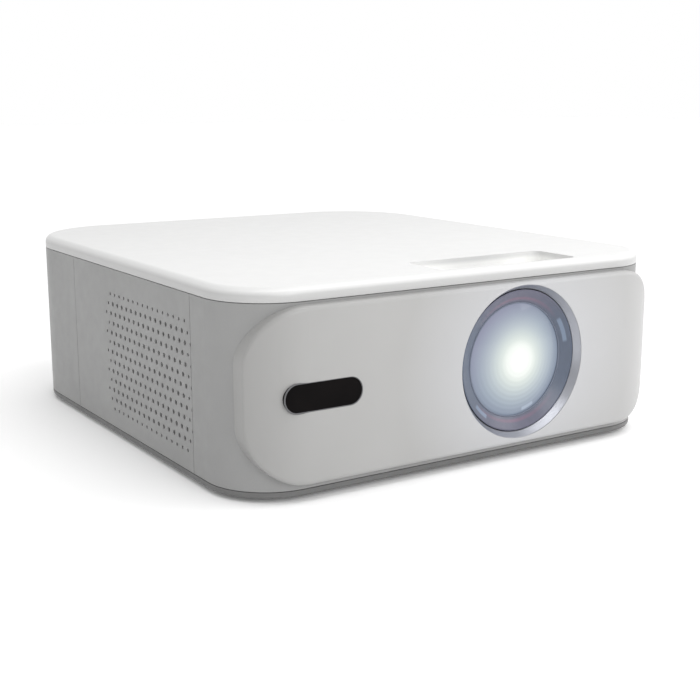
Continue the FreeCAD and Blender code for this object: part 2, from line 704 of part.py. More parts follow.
def optic_sheet(name, label, y, grow=0, window=None):
    """A flat optical sheet that stands across the light path."""
    x = (f"lens_x - {LCD_HALF_X + grow}", f"lens_x + {LCD_HALF_X + grow}")
    z = (f"lens_z - {LCD_HALF_Z + grow}", f"lens_z + {LCD_HALF_Z + grow}")
    sheet_ = box(name, x, y, z)
    if window:
        x = (f"lens_x - {window[0]}", f"lens_x + {window[0]}")
        z = (f"lens_z - {window[1]}", f"lens_z + {window[1]}")
        opening = box(name + "_window", x, (f"{y[0]} - 1", f"{y[1]} + 1"), z)
        sheet_ = cut(name + "_frame", sheet_, opening)
    node(sheet_, label)


def make_engine():
    """The light engine: a black box for the light path, its lid and what stands in it."""
    y = ("engine_front + 0.02", "engine_rear")
    block = box("engine_block", ENGINE_X, y, ("engine_low", "engine_high - 2.2"))
    x = ("lens_x - engine_half + engine_wall", "lens_x + engine_half - engine_wall")
    hollow = box("engine_hollow", x, ("engine_front + engine_wall", "engine_rear - engine_wall"),
                 ("engine_low + engine_wall", "engine_high"))
    rails = []
    sides = (("lens_x - engine_half + 1", "lens_x - 45"), ("lens_x + 45", "lens_x + engine_half - 1"))
    for index, (low, high) in enumerate(SHEET_GROOVES, start=1):
        for side, (left, right) in enumerate(sides):
            bar = box(f"engine_rail_{index}_{side}", (left, right), (low - 1.4, high + 1.4),
                      ("engine_low + 1", "engine_high - 6"))
            rails.append((bar, low, high))
    bars = fuse("engine_bars", cut("engine_shell", block, hollow), *[bar for bar, _, _ in rails])
    grooves = []
    for index, (low, high) in enumerate(SHEET_GROOVES, start=1):
        grow = 3.3 if index == 2 else 0.3
        x = (f"lens_x - {LCD_HALF_X + grow}", f"lens_x + {LCD_HALF_X + grow}")
        grooves.append(box(f"engine_groove_{index}", x, (low, high),
                           (f"lens_z - {LCD_HALF_Z + grow}", "engine_high")))
    front_hole = rod("engine_front_hole", "Y", 33, ("engine_front - 1", "engine_front + 4"), LENS)
    rear_hole = rod("engine_rear_hole", "Y", 22.3, ("engine_rear - 8", "engine_rear + 4"), LENS)
    threads = [rod(f"engine_thread_{px}_{pz}", "Y", 1.25, ("engine_front - 4", "engine_front + 9"),
                   (f"lens_x + {px}", f"lens_z + {pz}")) for px, pz in SLEEVE_SCREWS]
    bosses = [rod(f"engine_boss_{px}_{pz}", "Y", 3, ("engine_front + 1", "engine_front + 9"),
                  (f"lens_x + {px}", f"lens_z + {pz}")) for px, pz in SLEEVE_SCREWS]
    body = fuse("engine_bossed", bars, *bosses)
    node(cut("engine", body, *grooves, front_hole, rear_hole, *threads), "engine_housing")
    node(box("engine_top", ENGINE_X, y, ("engine_high - 2.1", "engine_high")), "engine_cover")
    optic_sheet("fresnel_one", "front_fresnel_lens", (-21, -19))
    optic_sheet("panel_frame_box", "lcd_frame", (-14, -9), 3, (44.5, 25.5))
    glass = box("panel_glass", ("lens_x - 44.4", "lens_x + 44.4"), (-12.6, -10.4),
                ("lens_z - 25.4", "lens_z + 25.4"))
    node(glass, "lcd_panel")
    optic_sheet("heat_glass_box", "heat_glass", (-1, 1.5))
    optic_sheet("fresnel_two", "rear_fresnel_lens", (11, 13))
    lens_element("glass_condenser", "condenser_lens", 22, ("engine_rear - 13", "engine_rear - 1"), 6.5,
                 -0.6)
    board = slab("lamp_board", ("lens_x - 24", "lens_x + 24"), ("engine_rear + 0.02", "engine_rear + 2"),
                 ("lens_z - 24", "lens_z + 24"), 3)
    chip = box("lamp_chip", ("lens_x - 9", "lens_x + 9"), ("engine_rear - 0.38", "engine_rear + 0.1"),
               ("lens_z - 9", "lens_z + 9"))
    node(fuse("lamp", board, chip), "led_module")
    make_lamp_heatsink()


def make_lamp_heatsink():
    """A finned heatsink behind the lamp."""
    x = ("lens_x - 38", "lens_x + 38")
    z = ("lens_z - 36", "lens_z + 36")
    base = box("sink_base", x, ("engine_rear + 2.02", "engine_rear + 7"), z)
    fins = []
    for index in range(20):
        left = f"lens_x - 38 + {index * 75 / 19:.3f}"
        fins.append(box(f"sink_fin_{index}", (left, f"{left} + 1"),
                        ("engine_rear + 6.5", "engine_rear + 34"), z))
    node(fuse("sink", base, *fins), "lamp_heatsink")


# --- fans -------------------------------------------------------------------------------

def fan_frame(name, label, axis, span, size, bore, centre):
    """A square fan frame with its round duct, four screw holes and the motor's bridge."""
    half = size / 2
    if axis == "Y":
        block = slab(name + "_block", (f"{centre[0]} - {half}", f"{centre[0]} + {half}"), span,
                     (f"{centre[1]} - {half}", f"{centre[1]} + {half}"), 3)
    else:
        block = box(name + "_block", span, (f"{centre[0]} - {half}", f"{centre[0]} + {half}"),
                    (f"{centre[1]} - {half}", f"{centre[1]} + {half}"))
    low, high = span
    duct = rod(name + "_duct", axis, bore, (f"{low} - 1", f"{high} + 1"), centre)
    holes = [rod(f"{name}_hole_{px}_{pz}", axis, 1.7, (f"{low} - 1", f"{high} + 1"),
                 (f"{centre[0]} + {px * (half - 4)}", f"{centre[1]} + {pz * (half - 4)}"))
             for px in (-1, 1) for pz in (-1, 1)]
    shell = cut(name + "_shell", block, duct, *holes)
    hub = rod(name + "_hub", axis, bore * 0.36, (low, f"{low} + 2"), centre)
    arms = []
    for angle in (45, 135):
        arm = box(f"{name}_arm_{angle}", (-1.2, 1.2), (-bore - 0.8, bore + 0.8), (0, 2))
        holder = doc.addObject("Part::Compound", f"{name}_arm_turned_{angle}")
        holder.Links = [arm]
        holder.Placement = FreeCAD.Placement(FreeCAD.Vector(), TURN[axis] * FreeCAD.Rotation(Z_AXIS, angle))
        where = (centre[0], low, centre[1]) if axis == "Y" else (low, centre[0], centre[1])
        arms.append(place(holder, *where))
    stub = rod(name + "_stub", axis, 1.5, (f"{low} + 1.9", f"{high} - 3"), centre)
    node(fuse(name, shell, hub, stub, *arms), label)


def fan_rotor(name, label, axis, span, bore, centre, blades=9):
    """A fan wheel: a hub with a shaft bore and swept, pitched blades."""
    doc.recompute()
    low, high = number(span[0]) + 2.6, number(span[1]) - 0.8
    hub_radius = bore * 0.36
    tip = bore - 0.7
    hub = Part.makeCylinder(hub_radius, high - low)
    hub = hub.cut(Part.makeCylinder(1.55, high - low - 1.6))
    height_ = high - low - 1
    pieces = []
    for index in range(blades):
        blade = Part.makeBox(tip - hub_radius + 1.5, 1.0, height_ * 1.35,
                             FreeCAD.Vector(hub_radius - 1, -0.5, -height_ * 0.675))
        blade.rotate(FreeCAD.Vector(), X_AXIS, 38)
        blade.translate(FreeCAD.Vector(0, 0, (high - low) / 2))
        blade.rotate(FreeCAD.Vector(), Z_AXIS, 360 * index / blades)
        pieces.append(blade)
    zone = Part.makeCylinder(tip, height_,
                             FreeCAD.Vector(0, 0,
                                            0.5)).cut(Part.makeCylinder(hub_radius - 0.4, height_ + 2,
                                                                        FreeCAD.Vector(0, 0, -0.5)))
    blades_shape = Part.makeCompound(pieces).common(zone)
    solid = hub.fuse(blades_shape.Solids)
    wheel = doc.addObject("Part::Feature", name)
    wheel.Shape = solid
    wheel.Placement = FreeCAD.Placement(FreeCAD.Vector(), TURN[axis])
    where = (centre[0], low, centre[1]) if axis == "Y" else (low, centre[0], centre[1])
    wheel.Placement.Base = FreeCAD.Vector(*[number(part) for part in where])
    node(wheel, label)


OUTLET = ("lens_x", "lens_z")
INTAKE = (-16, "grille_z")


def make_fans():
    """The outlet fan behind the heatsink and the inlet fan behind the left grille."""
    fan_frame("outlet", "outlet_fan_frame", "Y", ("engine_rear + 36", "engine_rear + 56"), 80, 37.5, OUTLET)
    fan_rotor("outlet_wheel", "outlet_fan_rotor", "Y", ("engine_rear + 36", "engine_rear + 56"), 37.5,
              OUTLET)
    fan_frame("intake", "intake_fan_frame", "X", (-116, -101), 60, 27.5, INTAKE)
    fan_rotor("intake_wheel", "intake_fan_rotor", "X", (-116, -101), 27.5, INTAKE, 7)
    x = ("-width / 2 + wall + 2.2", -119.2)
    rim = box("filter_rim", x, (-46, 14), ("grille_z - 32", "grille_z + 32"))
    opening = box("filter_opening", ("-width / 2", -110), (-42, 10), ("grille_z - 28", "grille_z + 28"))
    bars = [box(f"filter_bar_{index}", x, (-42.5, 10.5),
                (f"grille_z - 29 + {index * 14.5}", f"grille_z - 28 + {index * 14.5}"))
            for index in range(1, 4)]
    node(fuse("filter", cut("filter_frame", rim, opening), *bars), "dust_filter_frame")


# --- electronics ------------------------------------------------------------------------

def block_on(name, corner, size, z):
    """A part on a circuit board, given by its low corner, its size and the board's top."""
    return box(name, (corner[0], corner[0] + size[0]), (corner[1], corner[1] + size[1]),
               (z - 0.1, z + size[2]))


def make_main_board():
    """The main circuit board with its processor, memory, coils and connectors."""
    top = 13.6
    board = prism("main_sheet", (-98, -35), (8, 136), (12, top), (2, 2))
    clip = outline("main_clip", 6, (0, "height"))
    shaped = common("main_shaped", board, clip)
    parts = [block_on(f"main_chip_{index}", corner, size, top) for index, (corner, size) in enumerate((
        ((-72, 40), (20, 20, 1.8)), ((-46, 42), (10, 14, 1.2)), ((-46, 60), (10, 14, 1.2)),
        ((-94, 40), (12, 12, 5)), ((-94, 58), (12, 12, 5)), ((-90, 14), (24, 6, 7)),
        ((-60, 12), (18, 5, 4)), ((-42, 14), (4, 14, 6)), ((-92, 78), (8, 8, 8)), ((-72, 84),
                                                                                   (14, 10, 1.4)),
        ((-48, 90), (6, 6, 3)), ((-80, 28), (4, 4, 2)), ((-70, 28), (4, 4, 2)), ((-60, 28), (4, 4, 2))))]
    holes = [rod(f"main_hole_{x}_{y}", "Z", 1.6, (10, 16), (x, y)) for x, y in BOARD_SCREWS]
    node(cut("main", fuse("main_filled", shaped, *parts), *holes), "main_board")
    base = box("chip_sink_base", (-74, -50), (38, 62), (top + 1.82, top + 4))
    fins = [box(f"chip_sink_fin_{index}", (-74 + index * 2.56, -73.04 + index * 2.56), (38, 62),
                (top + 3.9, top + 12)) for index in range(10)]
    node(fuse("chip_sink", base, *fins), "processor_heatsink")


BOARD_SCREWS = ((-94, 12), (-39, 34), (-94, 104), (-39, 104))


def make_power_board():
    """The mains supply: a board above the main board with its transformer and capacitors."""
    top = 48.6
    board = prism("supply_sheet", (-100, -34), (20, 122), (47, top), (2, 2))
    shaped = common("supply_shaped", board, outline("supply_clip", 8, (0, "height")))
    blocks = [block_on(f"supply_block_{index}", corner, size, top) for index, (corner, size) in enumerate((
        ((-78, 60), (26, 24, 20)), ((-96, 26), (16, 12, 14)), ((-72, 28), (12, 16, 16)), ((-50, 56),
                                                                                          (10, 4, 18)),
        ((-50, 92), (12, 8, 12)), ((-94, 88), (8, 14, 10))))]
    cans = [rod(f"supply_can_{x}_{y}", "Z", radius, (top - 0.1, top + tall), (x, y))
            for x, y, radius, tall in ((-90, 50, 8, 26), (-44, 34, 5, 16), (-44, 76, 5, 20),
                                       (-88, 72, 6, 18))]
    holes = [rod(f"supply_hole_{x}_{y}", "Z", 1.6, (46, 50), (x, y)) for x, y in SUPPLY_SCREWS]
    node(cut("supply", fuse("supply_filled", shaped, *blocks, *cans), *holes), "power_supply_board")


SUPPLY_SCREWS = ((-96, 22.6), (-41, 22.6), (-94, 106), (-41, 118))


def make_board_fixings():
    """The bracket that carries the mains supply above the main board, and the boards' screws."""
    shelf = prism("shelf_sheet", (-102, -35), (16, 124), (44.4, 46.9), (2, 2))
    shaped = common("shelf_shaped", shelf, outline("shelf_clip", 5, (0, "height")))
    window = prism("shelf_window", (-86, -50), (36, 100), (40, 50), (4, 4))
    left = [(-107, -101, low) for low in (36, 70)]
    right = [(-36, -29.6, low) for low in (16, 110)]
    tabs = [box(f"shelf_tab_{index}", (start, end), (low, low + 5), (44.4, 46.9))
            for index, (start, end, low) in enumerate(left + right)]
    legs = [box(f"shelf_leg_{index}", (start, start + 3.5), (low, low + 5), ("foot_lift + 2.25", 45))
            for index, (start, low) in enumerate(
        [(start, low) for start, _, low in left] + [(-33.1, low) for _, _, low in right])]
    holes = [rod(f"shelf_hole_{x}_{y}", "Z", 1.25, (40, 50), (x, y)) for x, y in SUPPLY_SCREWS]
    node(cut("shelf", fuse("shelf_filled", shaped, *legs, *tabs), window, *holes), "supply_bracket")
    screws = [screw(f"board_screw_{index}", x, y, 13.62, 7) for index, (x, y) in enumerate(BOARD_SCREWS)]
    screws += [screw(f"supply_screw_{index}", x, y, 48.62, 5, 2.6, 1.2)
               for index, (x, y) in enumerate(SUPPLY_SCREWS)]
    node(group("board_screw_set", *screws), "board_screws")


def make_sockets():
    """The sockets that open through the rear wall."""
    face = "depth / 2 - 0.4"
    inside = "depth / 2 - 16"
    block = slab("power_block", (-73, -51), (inside, face), (50.6, 69.4), 1.8)
    eights = [rod(f"power_eight_{index}", "Y", 4.1, ("depth / 2 - 14.2", "depth"), (x, 60))
              for index, x in enumerate((-66.1, -57.9))]
    middle = box("power_middle", (-66.1, -57.9), ("depth / 2 - 14.2", "depth"), (56.6, 63.4))
    pins = [rod(f"power_pin_{index}", "Y", 1.2, ("depth / 2 - 15", "depth / 2 - 6"), (x, 60))
            for index, x in enumerate((-66.1, -57.9))]
    node(fuse("power_socket", cut("power_body", block, *eights, middle), *pins), "mains_inlet")
    hdmi = slab("hdmi_block", (-69.6, -54.4), (inside, face), (15.2, 21.8), 0.8)
    mouth = slab("hdmi_mouth", (-69.1, -54.9), ("depth / 2 - 13", "depth"), (15.7, 21.3), 0.6)
    tongue = box("hdmi_tongue", (-67, -57), ("depth / 2 - 13.2", "depth / 2 - 2"), (17.6, 19))
    foot = box("hdmi_foot", (-68, -56), (inside, "depth / 2 - 6"), (13.62, 15.4))
    node(fuse("hdmi", cut("hdmi_shell", hdmi, mouth), tongue, foot), "hdmi_socket")
    usb = slab("usb_block", (-43.6, -29.8), (inside, face), (14.4, 22.0), 0.6)
    mouth = slab("usb_mouth", (-43.1, -30.3), ("depth / 2 - 13", "depth"), (14.9, 21.5), 0.4)
    tongue = box("usb_tongue", (-42.2, -31.2), ("depth / 2 - 13.2", "depth / 2 - 1.6"), (18.6, 20.4))
    foot = box("usb_foot", (-42, -36), (inside, "depth / 2 - 8"), (13.62, 14.6))
    node(fuse("usb", cut("usb_shell", usb, mouth), tongue, foot), "usb_socket")
    jack = rod("jack_barrel", "Y", 3.1, ("depth / 2 - 6", face), (-15, 18.4))
    case = box("jack_case", (-19, -11), (inside, "depth / 2 - 5.8"), (14, 22.4))
    bore = rod("jack_bore", "Y", 1.8, ("depth / 2 - 15", "depth"), (-15, 18.4))
    node(cut("jack", fuse("jack_solid", jack, case), bore), "audio_jack")


def make_sensor_board():
    """The small board behind the dark window, with its receivers."""
    board = box("sensor_sheet", ("window_x - 19", "window_x + 19"), (-131.6, -130.4),
                ("window_z - 7", "window_z + 7"))
    parts = [box(f"sensor_part_{index}", (f"window_x + {x}", f"window_x + {x + wide}"), (y, -131.5),
                 (f"window_z - {half}", f"window_z + {half}"))
             for index, (x, wide, half, y) in enumerate(((-15, 6, 3, -135.5), (-4, 8, 3, -134.4),
                                                         (9, 4, 2, -134)))]
    node(fuse("sensor_filled", board, *parts), "sensor_board")


def make_speaker(side, word):
    """A loudspeaker: its sealed box, frame, cone and magnet."""
    def across(near, far):
        pair = sorted((near * side, far * side))
        return tuple(pair)
    y = (-90, -50)
    chamber = box(f"{word}_chamber", across(98, 118), y, (12, 80))
    hollow = box(f"{word}_hollow", across(100, 119), (-88, -52), (14, 78))
    centre = (-70, "grille_z")
    front = box(f"{word}_baffle", across(118, 120.5), y, (12, 80))
    opening = rod(f"{word}_opening", "X", 17.2, across(110, 124), centre)
    screws = [rod(f"{word}_tap_{y0}_{z0}", "X", 1.2, across(116, 124), (y0, z0)) for y0 in (-86, -54)
              for z0 in (16, 76)]
    node(cut(f"{word}_box", fuse(f"{word}_filled", cut(f"{word}_tub", chamber, hollow), front), opening,
             *screws), f"{word}_speaker_box")
    flange = tube(f"{word}_flange", "X", (19, 15), across(120.55, 121.6), centre)
    basket = tube(f"{word}_basket", "X", (15.8, 14.6), across(112, 120.6), centre)
    back = rod(f"{word}_back", "X", 15.8, across(110.6, 112.1), centre)
    magnet = rod(f"{word}_magnet", "X", 11, across(102.5, 110.7), centre)
    node(fuse(f"{word}_frame", flange, basket, back, magnet), f"{word}_speaker_frame")
    start, end = (112.6, 120.2)
    if side > 0:
        outer = taper(f"{word}_cone_out", "X", (5, 14.2), (start, end), centre)
        inner = taper(f"{word}_cone_in", "X", (4.2, 13.6), (start + 0.4, end + 0.1), centre)
    else:
        outer = taper(f"{word}_cone_out", "X", (14.2, 5), (-end, -start), centre)
        inner = taper(f"{word}_cone_in", "X", (13.6, 4.2), (-end - 0.1, -start - 0.4), centre)
    surround = tube(f"{word}_surround", "X", (14.5, 13.2), across(119.4, 120.4), centre)
    node(fuse(f"{word}_cone", cut(f"{word}_paper", outer, inner), surround), f"{word}_speaker_cone")
    cloth_x = across(125.2, 125.6)
    node(box(f"{word}_cloth", cloth_x, (-91, 8), ("grille_z - 33", "grille_z + 33")),
         f"{word}_grille_cloth")


# --- controls and mounts ----------------------------------------------------------------

def make_power_button():
    """The power button in the rear wall, its guide and its light pipe."""
    centre = ("button_x", "button_z")
    cap = rod("button_cap", "Y", "button_radius", ("depth / 2 - 5", "depth / 2 - 0.2"), centre)
    soft = rounded_edges("button_soft", cap, 0.5, lambda edge,
                         middle: middle.y > number("depth / 2 - 0.21"))
    flange = rod("button_flange", "Y", "button_radius + 1.4", ("depth / 2 - 6.2", "depth / 2 - 4.9"),
                 centre)
    stem = rod("button_stem", "Y", 1.6, ("depth / 2 - 9", "depth / 2 - 6.1"), centre)
    dish = rod("button_ring", "Y", 1.0, ("depth / 2 - 0.6", "depth / 2 + 1"), centre)
    node(cut("button", fuse("button_solid", soft, flange, stem), dish), "power_button")
    guide = tube("guide_tube", "Y", ("button_radius + 3", "button_radius + 1.8"),
                 ("depth / 2 - 10", "depth / 2 - 3"), centre)
    board = box("guide_board", ("button_x - 10", "button_x + 10"),
                ("depth / 2 - 14", "depth / 2 - 12.6"), ("button_z - 9", "button_z + 9"))
    switch = box("guide_switch", ("button_x - 3", "button_x + 3"),
                 ("depth / 2 - 12.7", "depth / 2 - 10.5"), ("button_z - 3", "button_z + 3"))
    feet = [box(f"guide_leg_{index}", (f"button_x + {x}", f"button_x + {x + 1.4}"),
                ("depth / 2 - 12.7", "depth / 2 - 6"), ("button_z - 2", "button_z + 2"))
            for index, x in enumerate((-8, 6.6))]
    node(fuse("key", board, switch, guide, *feet), "key_board")


def make_tripod_insert():
    """The threaded brass insert in the tray."""
    node(tube("insert", "Z", (4.98, "tripod_radius"),
              ("foot_lift + 0.2", "foot_lift + 0.2 + tripod_length"), (0, 0)),
         "tripod_insert")


def make_stand():
    """The tilting stand that folds into the tray, and the pin it turns on."""
    pivot = ("stand_pivot_y", "stand_pivot_z")
    leaf_z = ("foot_lift + 0.3", "foot_lift + 0.3 + stand_thick")
    leaf = prism("stand_leaf", ("-stand_half", "stand_half"),
                 ("stand_pivot_y - 0.2", "stand_pivot_y + stand_length"), leaf_z, (0.1, 6))
    barrel = rod("stand_barrel", "X", 2.3, ("-stand_half", "stand_half"), pivot)
    bore = rod("stand_bore", "X", 1.05, ("-stand_half - 1", "stand_half + 1"), pivot)
    grip = box("stand_grip", (-8, 8), ("stand_pivot_y + stand_length - 4",
                                       "stand_pivot_y + stand_length - 2.4"), ("foot_lift",
                                                                               "foot_lift + 1.2"))
    node(cut("stand", fuse("stand_solid", leaf, barrel), bore, grip), "tilt_stand")
    node(rod("stand_pin_rod", "X", 1.0, ("-stand_half - 2.15", "stand_half + 2.15"), pivot), "stand_pin")


make_lid()
make_front_shell()
make_rear_shell()
make_side_panel("left_side_panel", -1)
make_side_panel("right_side_panel", 1)
make_tray()
make_feet()
make_case_screws()
make_front_plate()
make_sensor_window()
make_trim_ring()
make_lens_sleeve()
make_focus_ring()
make_lens_cell()
make_engine()
make_fans()
make_main_board()
make_power_board()
make_board_fixings()
make_sockets()
make_sensor_board()
make_speaker(-1, "left")
make_speaker(1, "right")
make_power_button()
make_tripod_insert()
make_stand()


# --- writing ----------------------------------------------------------------------------

def write_parts():
    """Check every object, then write each sub-part to its own file."""
    doc.recompute()
    for obj in doc.Objects:
        if "Invalid" in obj.State or "Error" in obj.State:
            raise RuntimeError(f"{obj.Name} failed: {obj.State}")
    for name, obj in nodes.items():
        if obj.Shape.isNull() or not obj.Shape.isValid() or not obj.Shape.Solids:
            raise RuntimeError(f"{name} has no sound solid")
    os.makedirs("parts", exist_ok=True)
    for name, obj in nodes.items():
        obj.Shape.exportStep(f"parts/{name}.step")
        size = obj.Shape.BoundBox
        print(f"{name:24} solids {len(obj.Shape.Solids):3}  {obj.Shape.Volume / 1000:9.2f} cm3  "
              f"x {size.XMin:8.2f} {size.XMax:8.2f}  y {size.YMin:8.2f} {size.YMax:8.2f}  "
              f"z {size.ZMin:7.2f} {size.ZMax:7.2f}")


write_parts()
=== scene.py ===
import json
import math
from random import Random

import bmesh
import bpy
from bpy.props import FloatProperty, FloatVectorProperty, IntProperty, PointerProperty
from bpy.types import Operator, Panel, PropertyGroup
from mathutils import Matrix, Vector


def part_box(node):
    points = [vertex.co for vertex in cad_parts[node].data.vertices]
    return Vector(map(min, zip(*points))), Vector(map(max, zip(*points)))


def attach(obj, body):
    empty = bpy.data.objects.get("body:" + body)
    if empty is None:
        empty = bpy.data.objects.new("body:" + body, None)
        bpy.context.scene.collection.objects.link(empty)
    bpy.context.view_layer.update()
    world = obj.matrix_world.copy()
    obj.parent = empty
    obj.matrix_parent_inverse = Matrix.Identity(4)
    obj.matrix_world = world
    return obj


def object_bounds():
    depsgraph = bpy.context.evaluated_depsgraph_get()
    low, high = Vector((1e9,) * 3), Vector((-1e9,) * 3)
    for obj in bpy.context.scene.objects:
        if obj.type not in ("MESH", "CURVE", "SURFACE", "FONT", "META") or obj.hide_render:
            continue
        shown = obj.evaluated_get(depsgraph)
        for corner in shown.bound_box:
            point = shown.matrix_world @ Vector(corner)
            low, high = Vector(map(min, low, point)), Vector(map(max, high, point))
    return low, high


bl_info = {
    "name": "Home projector",
    "version": (1, 0, 0),
    "blender": (4, 5, 0),
    "location": "3D View > Sidebar > Projector",
    "description": "Finishes and small parts for a tabletop home projector",
    "category": "Object",
}

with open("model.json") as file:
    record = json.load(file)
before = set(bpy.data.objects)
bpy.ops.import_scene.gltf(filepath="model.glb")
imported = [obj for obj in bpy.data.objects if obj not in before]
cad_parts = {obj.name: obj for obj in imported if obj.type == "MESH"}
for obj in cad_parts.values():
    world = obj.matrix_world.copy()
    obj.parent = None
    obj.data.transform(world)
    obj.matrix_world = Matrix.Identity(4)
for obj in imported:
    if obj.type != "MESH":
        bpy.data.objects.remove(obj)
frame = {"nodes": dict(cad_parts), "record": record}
CAD_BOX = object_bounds()
NODES = frame["nodes"]


def corners(node):
    """Lowest and highest corner of a CAD node."""
    return tuple(Vector(corner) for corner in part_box(node))


def middle(node):
    """Middle of a CAD node's box."""
    low, high = corners(node)
    return (low + high) / 2


LENS = middle("lens_trim_ring")
OPENINGS = {row["name"]: row["box_m"] for row in frame["record"]["physics"]["openings"]}
WELL = OPENINGS["finger_well"]
GLASS_REACH = 0.0346             # distance from the lens axis over which the painted light in the glass fades
COVER_SHADE_BAND = (0.0965, 0.0945)    # heights between which the cover's top turns into its side band and well: below them the band gets painted shade, the well painted light


# --- Sizes and colours --------------------------------------------------------------------

class CaseLook(PropertyGroup):
    """Colours and surface of the moulded case."""
    cover: FloatVectorProperty(name="Cover", description="Colour of the white cover", subtype="COLOR",
                               default=(0.70, 0.70, 0.695))
    wall: FloatVectorProperty(name="Walls", description="Colour of the grey walls", subtype="COLOR",
                              default=(0.275, 0.275, 0.273))
    plate: FloatVectorProperty(name="Plate", description="Colour of the raised front plate", subtype="COLOR",
                               default=(0.36, 0.357, 0.352))
    edge: FloatProperty(name="Edge softness", description="Radius of the soft moulded edges",
                        default=0.0004, min=0.0, unit="LENGTH")
    grain: FloatProperty(name="Grain depth", description="Depth of the moulded grain", default=0.00002,
                         min=0.0, unit="LENGTH")


class LensLook(PropertyGroup):
    """Colours and light of the projection lens."""
    # glow is the strength of the painted light that the front glass gives out
    glow: FloatProperty(name="Glow", description="Strength of the light in the glass", default=0.8, min=0.0)
    rim: FloatVectorProperty(name="Rim", description="Colour of the barrel round the glass", subtype="COLOR",
                             default=(0.07, 0.09, 0.135))
    trim: FloatVectorProperty(name="Trim ring", description="Colour of the turned ring", subtype="COLOR",
                              default=(0.42, 0.43, 0.47))


class InsideLook(PropertyGroup):
    """Colours of the working parts behind the walls."""
    board: FloatVectorProperty(name="Board", description="Colour of the circuit boards", subtype="COLOR",
                               default=(0.012, 0.09, 0.035))
    black: FloatVectorProperty(name="Black parts", description="Colour of black mouldings", subtype="COLOR",
                               default=(0.018, 0.018, 0.02))
    threads: IntProperty(name="Cloth threads", description="Threads of the grille cloth in each centimetre",
                         default=22, min=4)


class StageLook(PropertyGroup):
    """Floor, lights and camera."""
    floor: FloatVectorProperty(name="Floor", description="Colour of the floor", subtype="COLOR",
                               default=(0.97, 0.97, 0.97))
    eye: FloatVectorProperty(name="Camera place", description="Where the camera stands", subtype="XYZ",
                             unit="LENGTH", default=(-0.3593, -0.5841, 0.1810))
    turn: FloatProperty(name="Camera turn", description="Turn of the camera to the right", subtype="ANGLE",
                        default=math.radians(32.95))
    tilt: FloatProperty(name="Camera tilt", description="Tilt of the camera downwards", subtype="ANGLE",
                        default=math.radians(12.17))
    focal: FloatProperty(name="Focal length", description="Focal length in millimetres", default=61.6,
                         min=1.0)


# --- Finishes -----------------------------------------------------------------------------

class Finish:
    """A material under construction, with short calls for its nodes."""

    def __init__(self, name):
        self.material = bpy.data.materials.new(name)
        self.material.use_nodes = True
        self.tree = self.material.node_tree
        self.shader = self.tree.nodes["Principled BSDF"]
        self.place = self.add("ShaderNodeTexCoord").outputs["Object"]

    def add(self, kind, inputs=None, **settings):
        step = self.tree.nodes.new(kind)
        for name, value in settings.items():
            setattr(step, name, value)
        for name, value in (inputs or {}).items():
            self.feed(step.inputs[name], value)
        return step

    def feed(self, socket, value):
        if isinstance(value, bpy.types.NodeSocket):
            self.tree.links.new(value, socket)
        else:
            socket.default_value = value

    def set(self, **values):
        for name, value in values.items():
            self.feed(self.shader.inputs[name.replace("_", " ").title().replace("Ior", "IOR")], value)
        return self

    def noise(self, scale, detail=3.0, rough=0.55, place=None):
        step = self.add("ShaderNodeTexNoise", {"Vector": place or self.place, "Scale": scale,
                                               "Detail": detail, "Roughness": rough})
        return step.outputs["Fac"]

    def math(self, operation, first, second=0.0, third=0.0, clamp=False):
        step = self.add("ShaderNodeMath", {0: first, 1: second, 2: third}, operation=operation,
                        use_clamp=clamp)
        return step.outputs[0]

    def vector(self, operation, first, second):
        return self.add("ShaderNodeVectorMath", {0: first, 1: second}, operation=operation).outputs[0]

    def ranged(self, value, low, high, out_low, out_high):
        return self.add("ShaderNodeMapRange", {"Value": value, "From Min": low, "From Max": high,
                                               "To Min": out_low, "To Max": out_high}).outputs["Result"]

    def mix(self, factor, first, second, blend="MIX"):
        step = self.add("ShaderNodeMix", data_type="RGBA", blend_type=blend)
        self.feed(step.inputs[0], factor)
        self.feed(step.inputs[6], first)
        self.feed(step.inputs[7], second)
        return step.outputs[2]

    def ramp(self, value, stops, ease="LINEAR"):
        step = self.add("ShaderNodeValToRGB", {"Fac": value})
        step.color_ramp.interpolation = ease
        elements = step.color_ramp.elements
        while len(elements) < len(stops):
            elements.new(0.5)
        for element, (place, colour) in zip(elements, stops):
            element.position = place
            element.color = (*colour, 1.0)
        return step.outputs["Color"]

    def split(self, place=None):
        return self.add("ShaderNodeSeparateXYZ", {"Vector": place or self.place}).outputs

    def about_lens(self):
        """Distance from the lens axis, and the place seen from it."""
        moved = self.vector("SUBTRACT", self.place, LENS)
        flat = self.vector("MULTIPLY", moved, (1.0, 0.0, 1.0))
        reach = self.add("ShaderNodeVectorMath", {0: flat}, operation="LENGTH").outputs["Value"]
        return reach, self.split(moved)

    def arc(self, reach, parts, radius, half_width, angle, spread):
        """A soft arc about the lens axis: 1 on it, 0 away from it. Angles are in degrees from the right."""
        turn = self.math("ARCTAN2", parts[2], parts[0])
        off = self.math("ABSOLUTE", self.math("SUBTRACT", turn, math.radians(angle)))
        along = self.ranged(off, math.radians(spread), math.radians(spread * 0.8), 0.0, 1.0)
        across = self.ranged(self.math("ABSOLUTE", self.math("SUBTRACT", reach, radius)),
                             half_width, half_width * 0.6, 0.0, 1.0)
        return self.math("MULTIPLY", along, across)

    def bump(self, height, depth, edge=0.0):
        inputs = {"Height": height, "Distance": depth, "Strength": 1.0}
        if edge:
            inputs["Normal"] = self.add("ShaderNodeBevel", {"Radius": edge}, samples=4).outputs["Normal"]
        self.set(normal=self.add("ShaderNodeBump", inputs).outputs["Normal"])
        return self


def shade(red, green, blue):
    """A display colour, 0 to 255, as the light values that nodes use."""
    return tuple((part / 255 / 12.92) if part < 10.3 else ((part / 255 + 0.055) / 1.055) ** 2.4
                 for part in (red, green, blue))


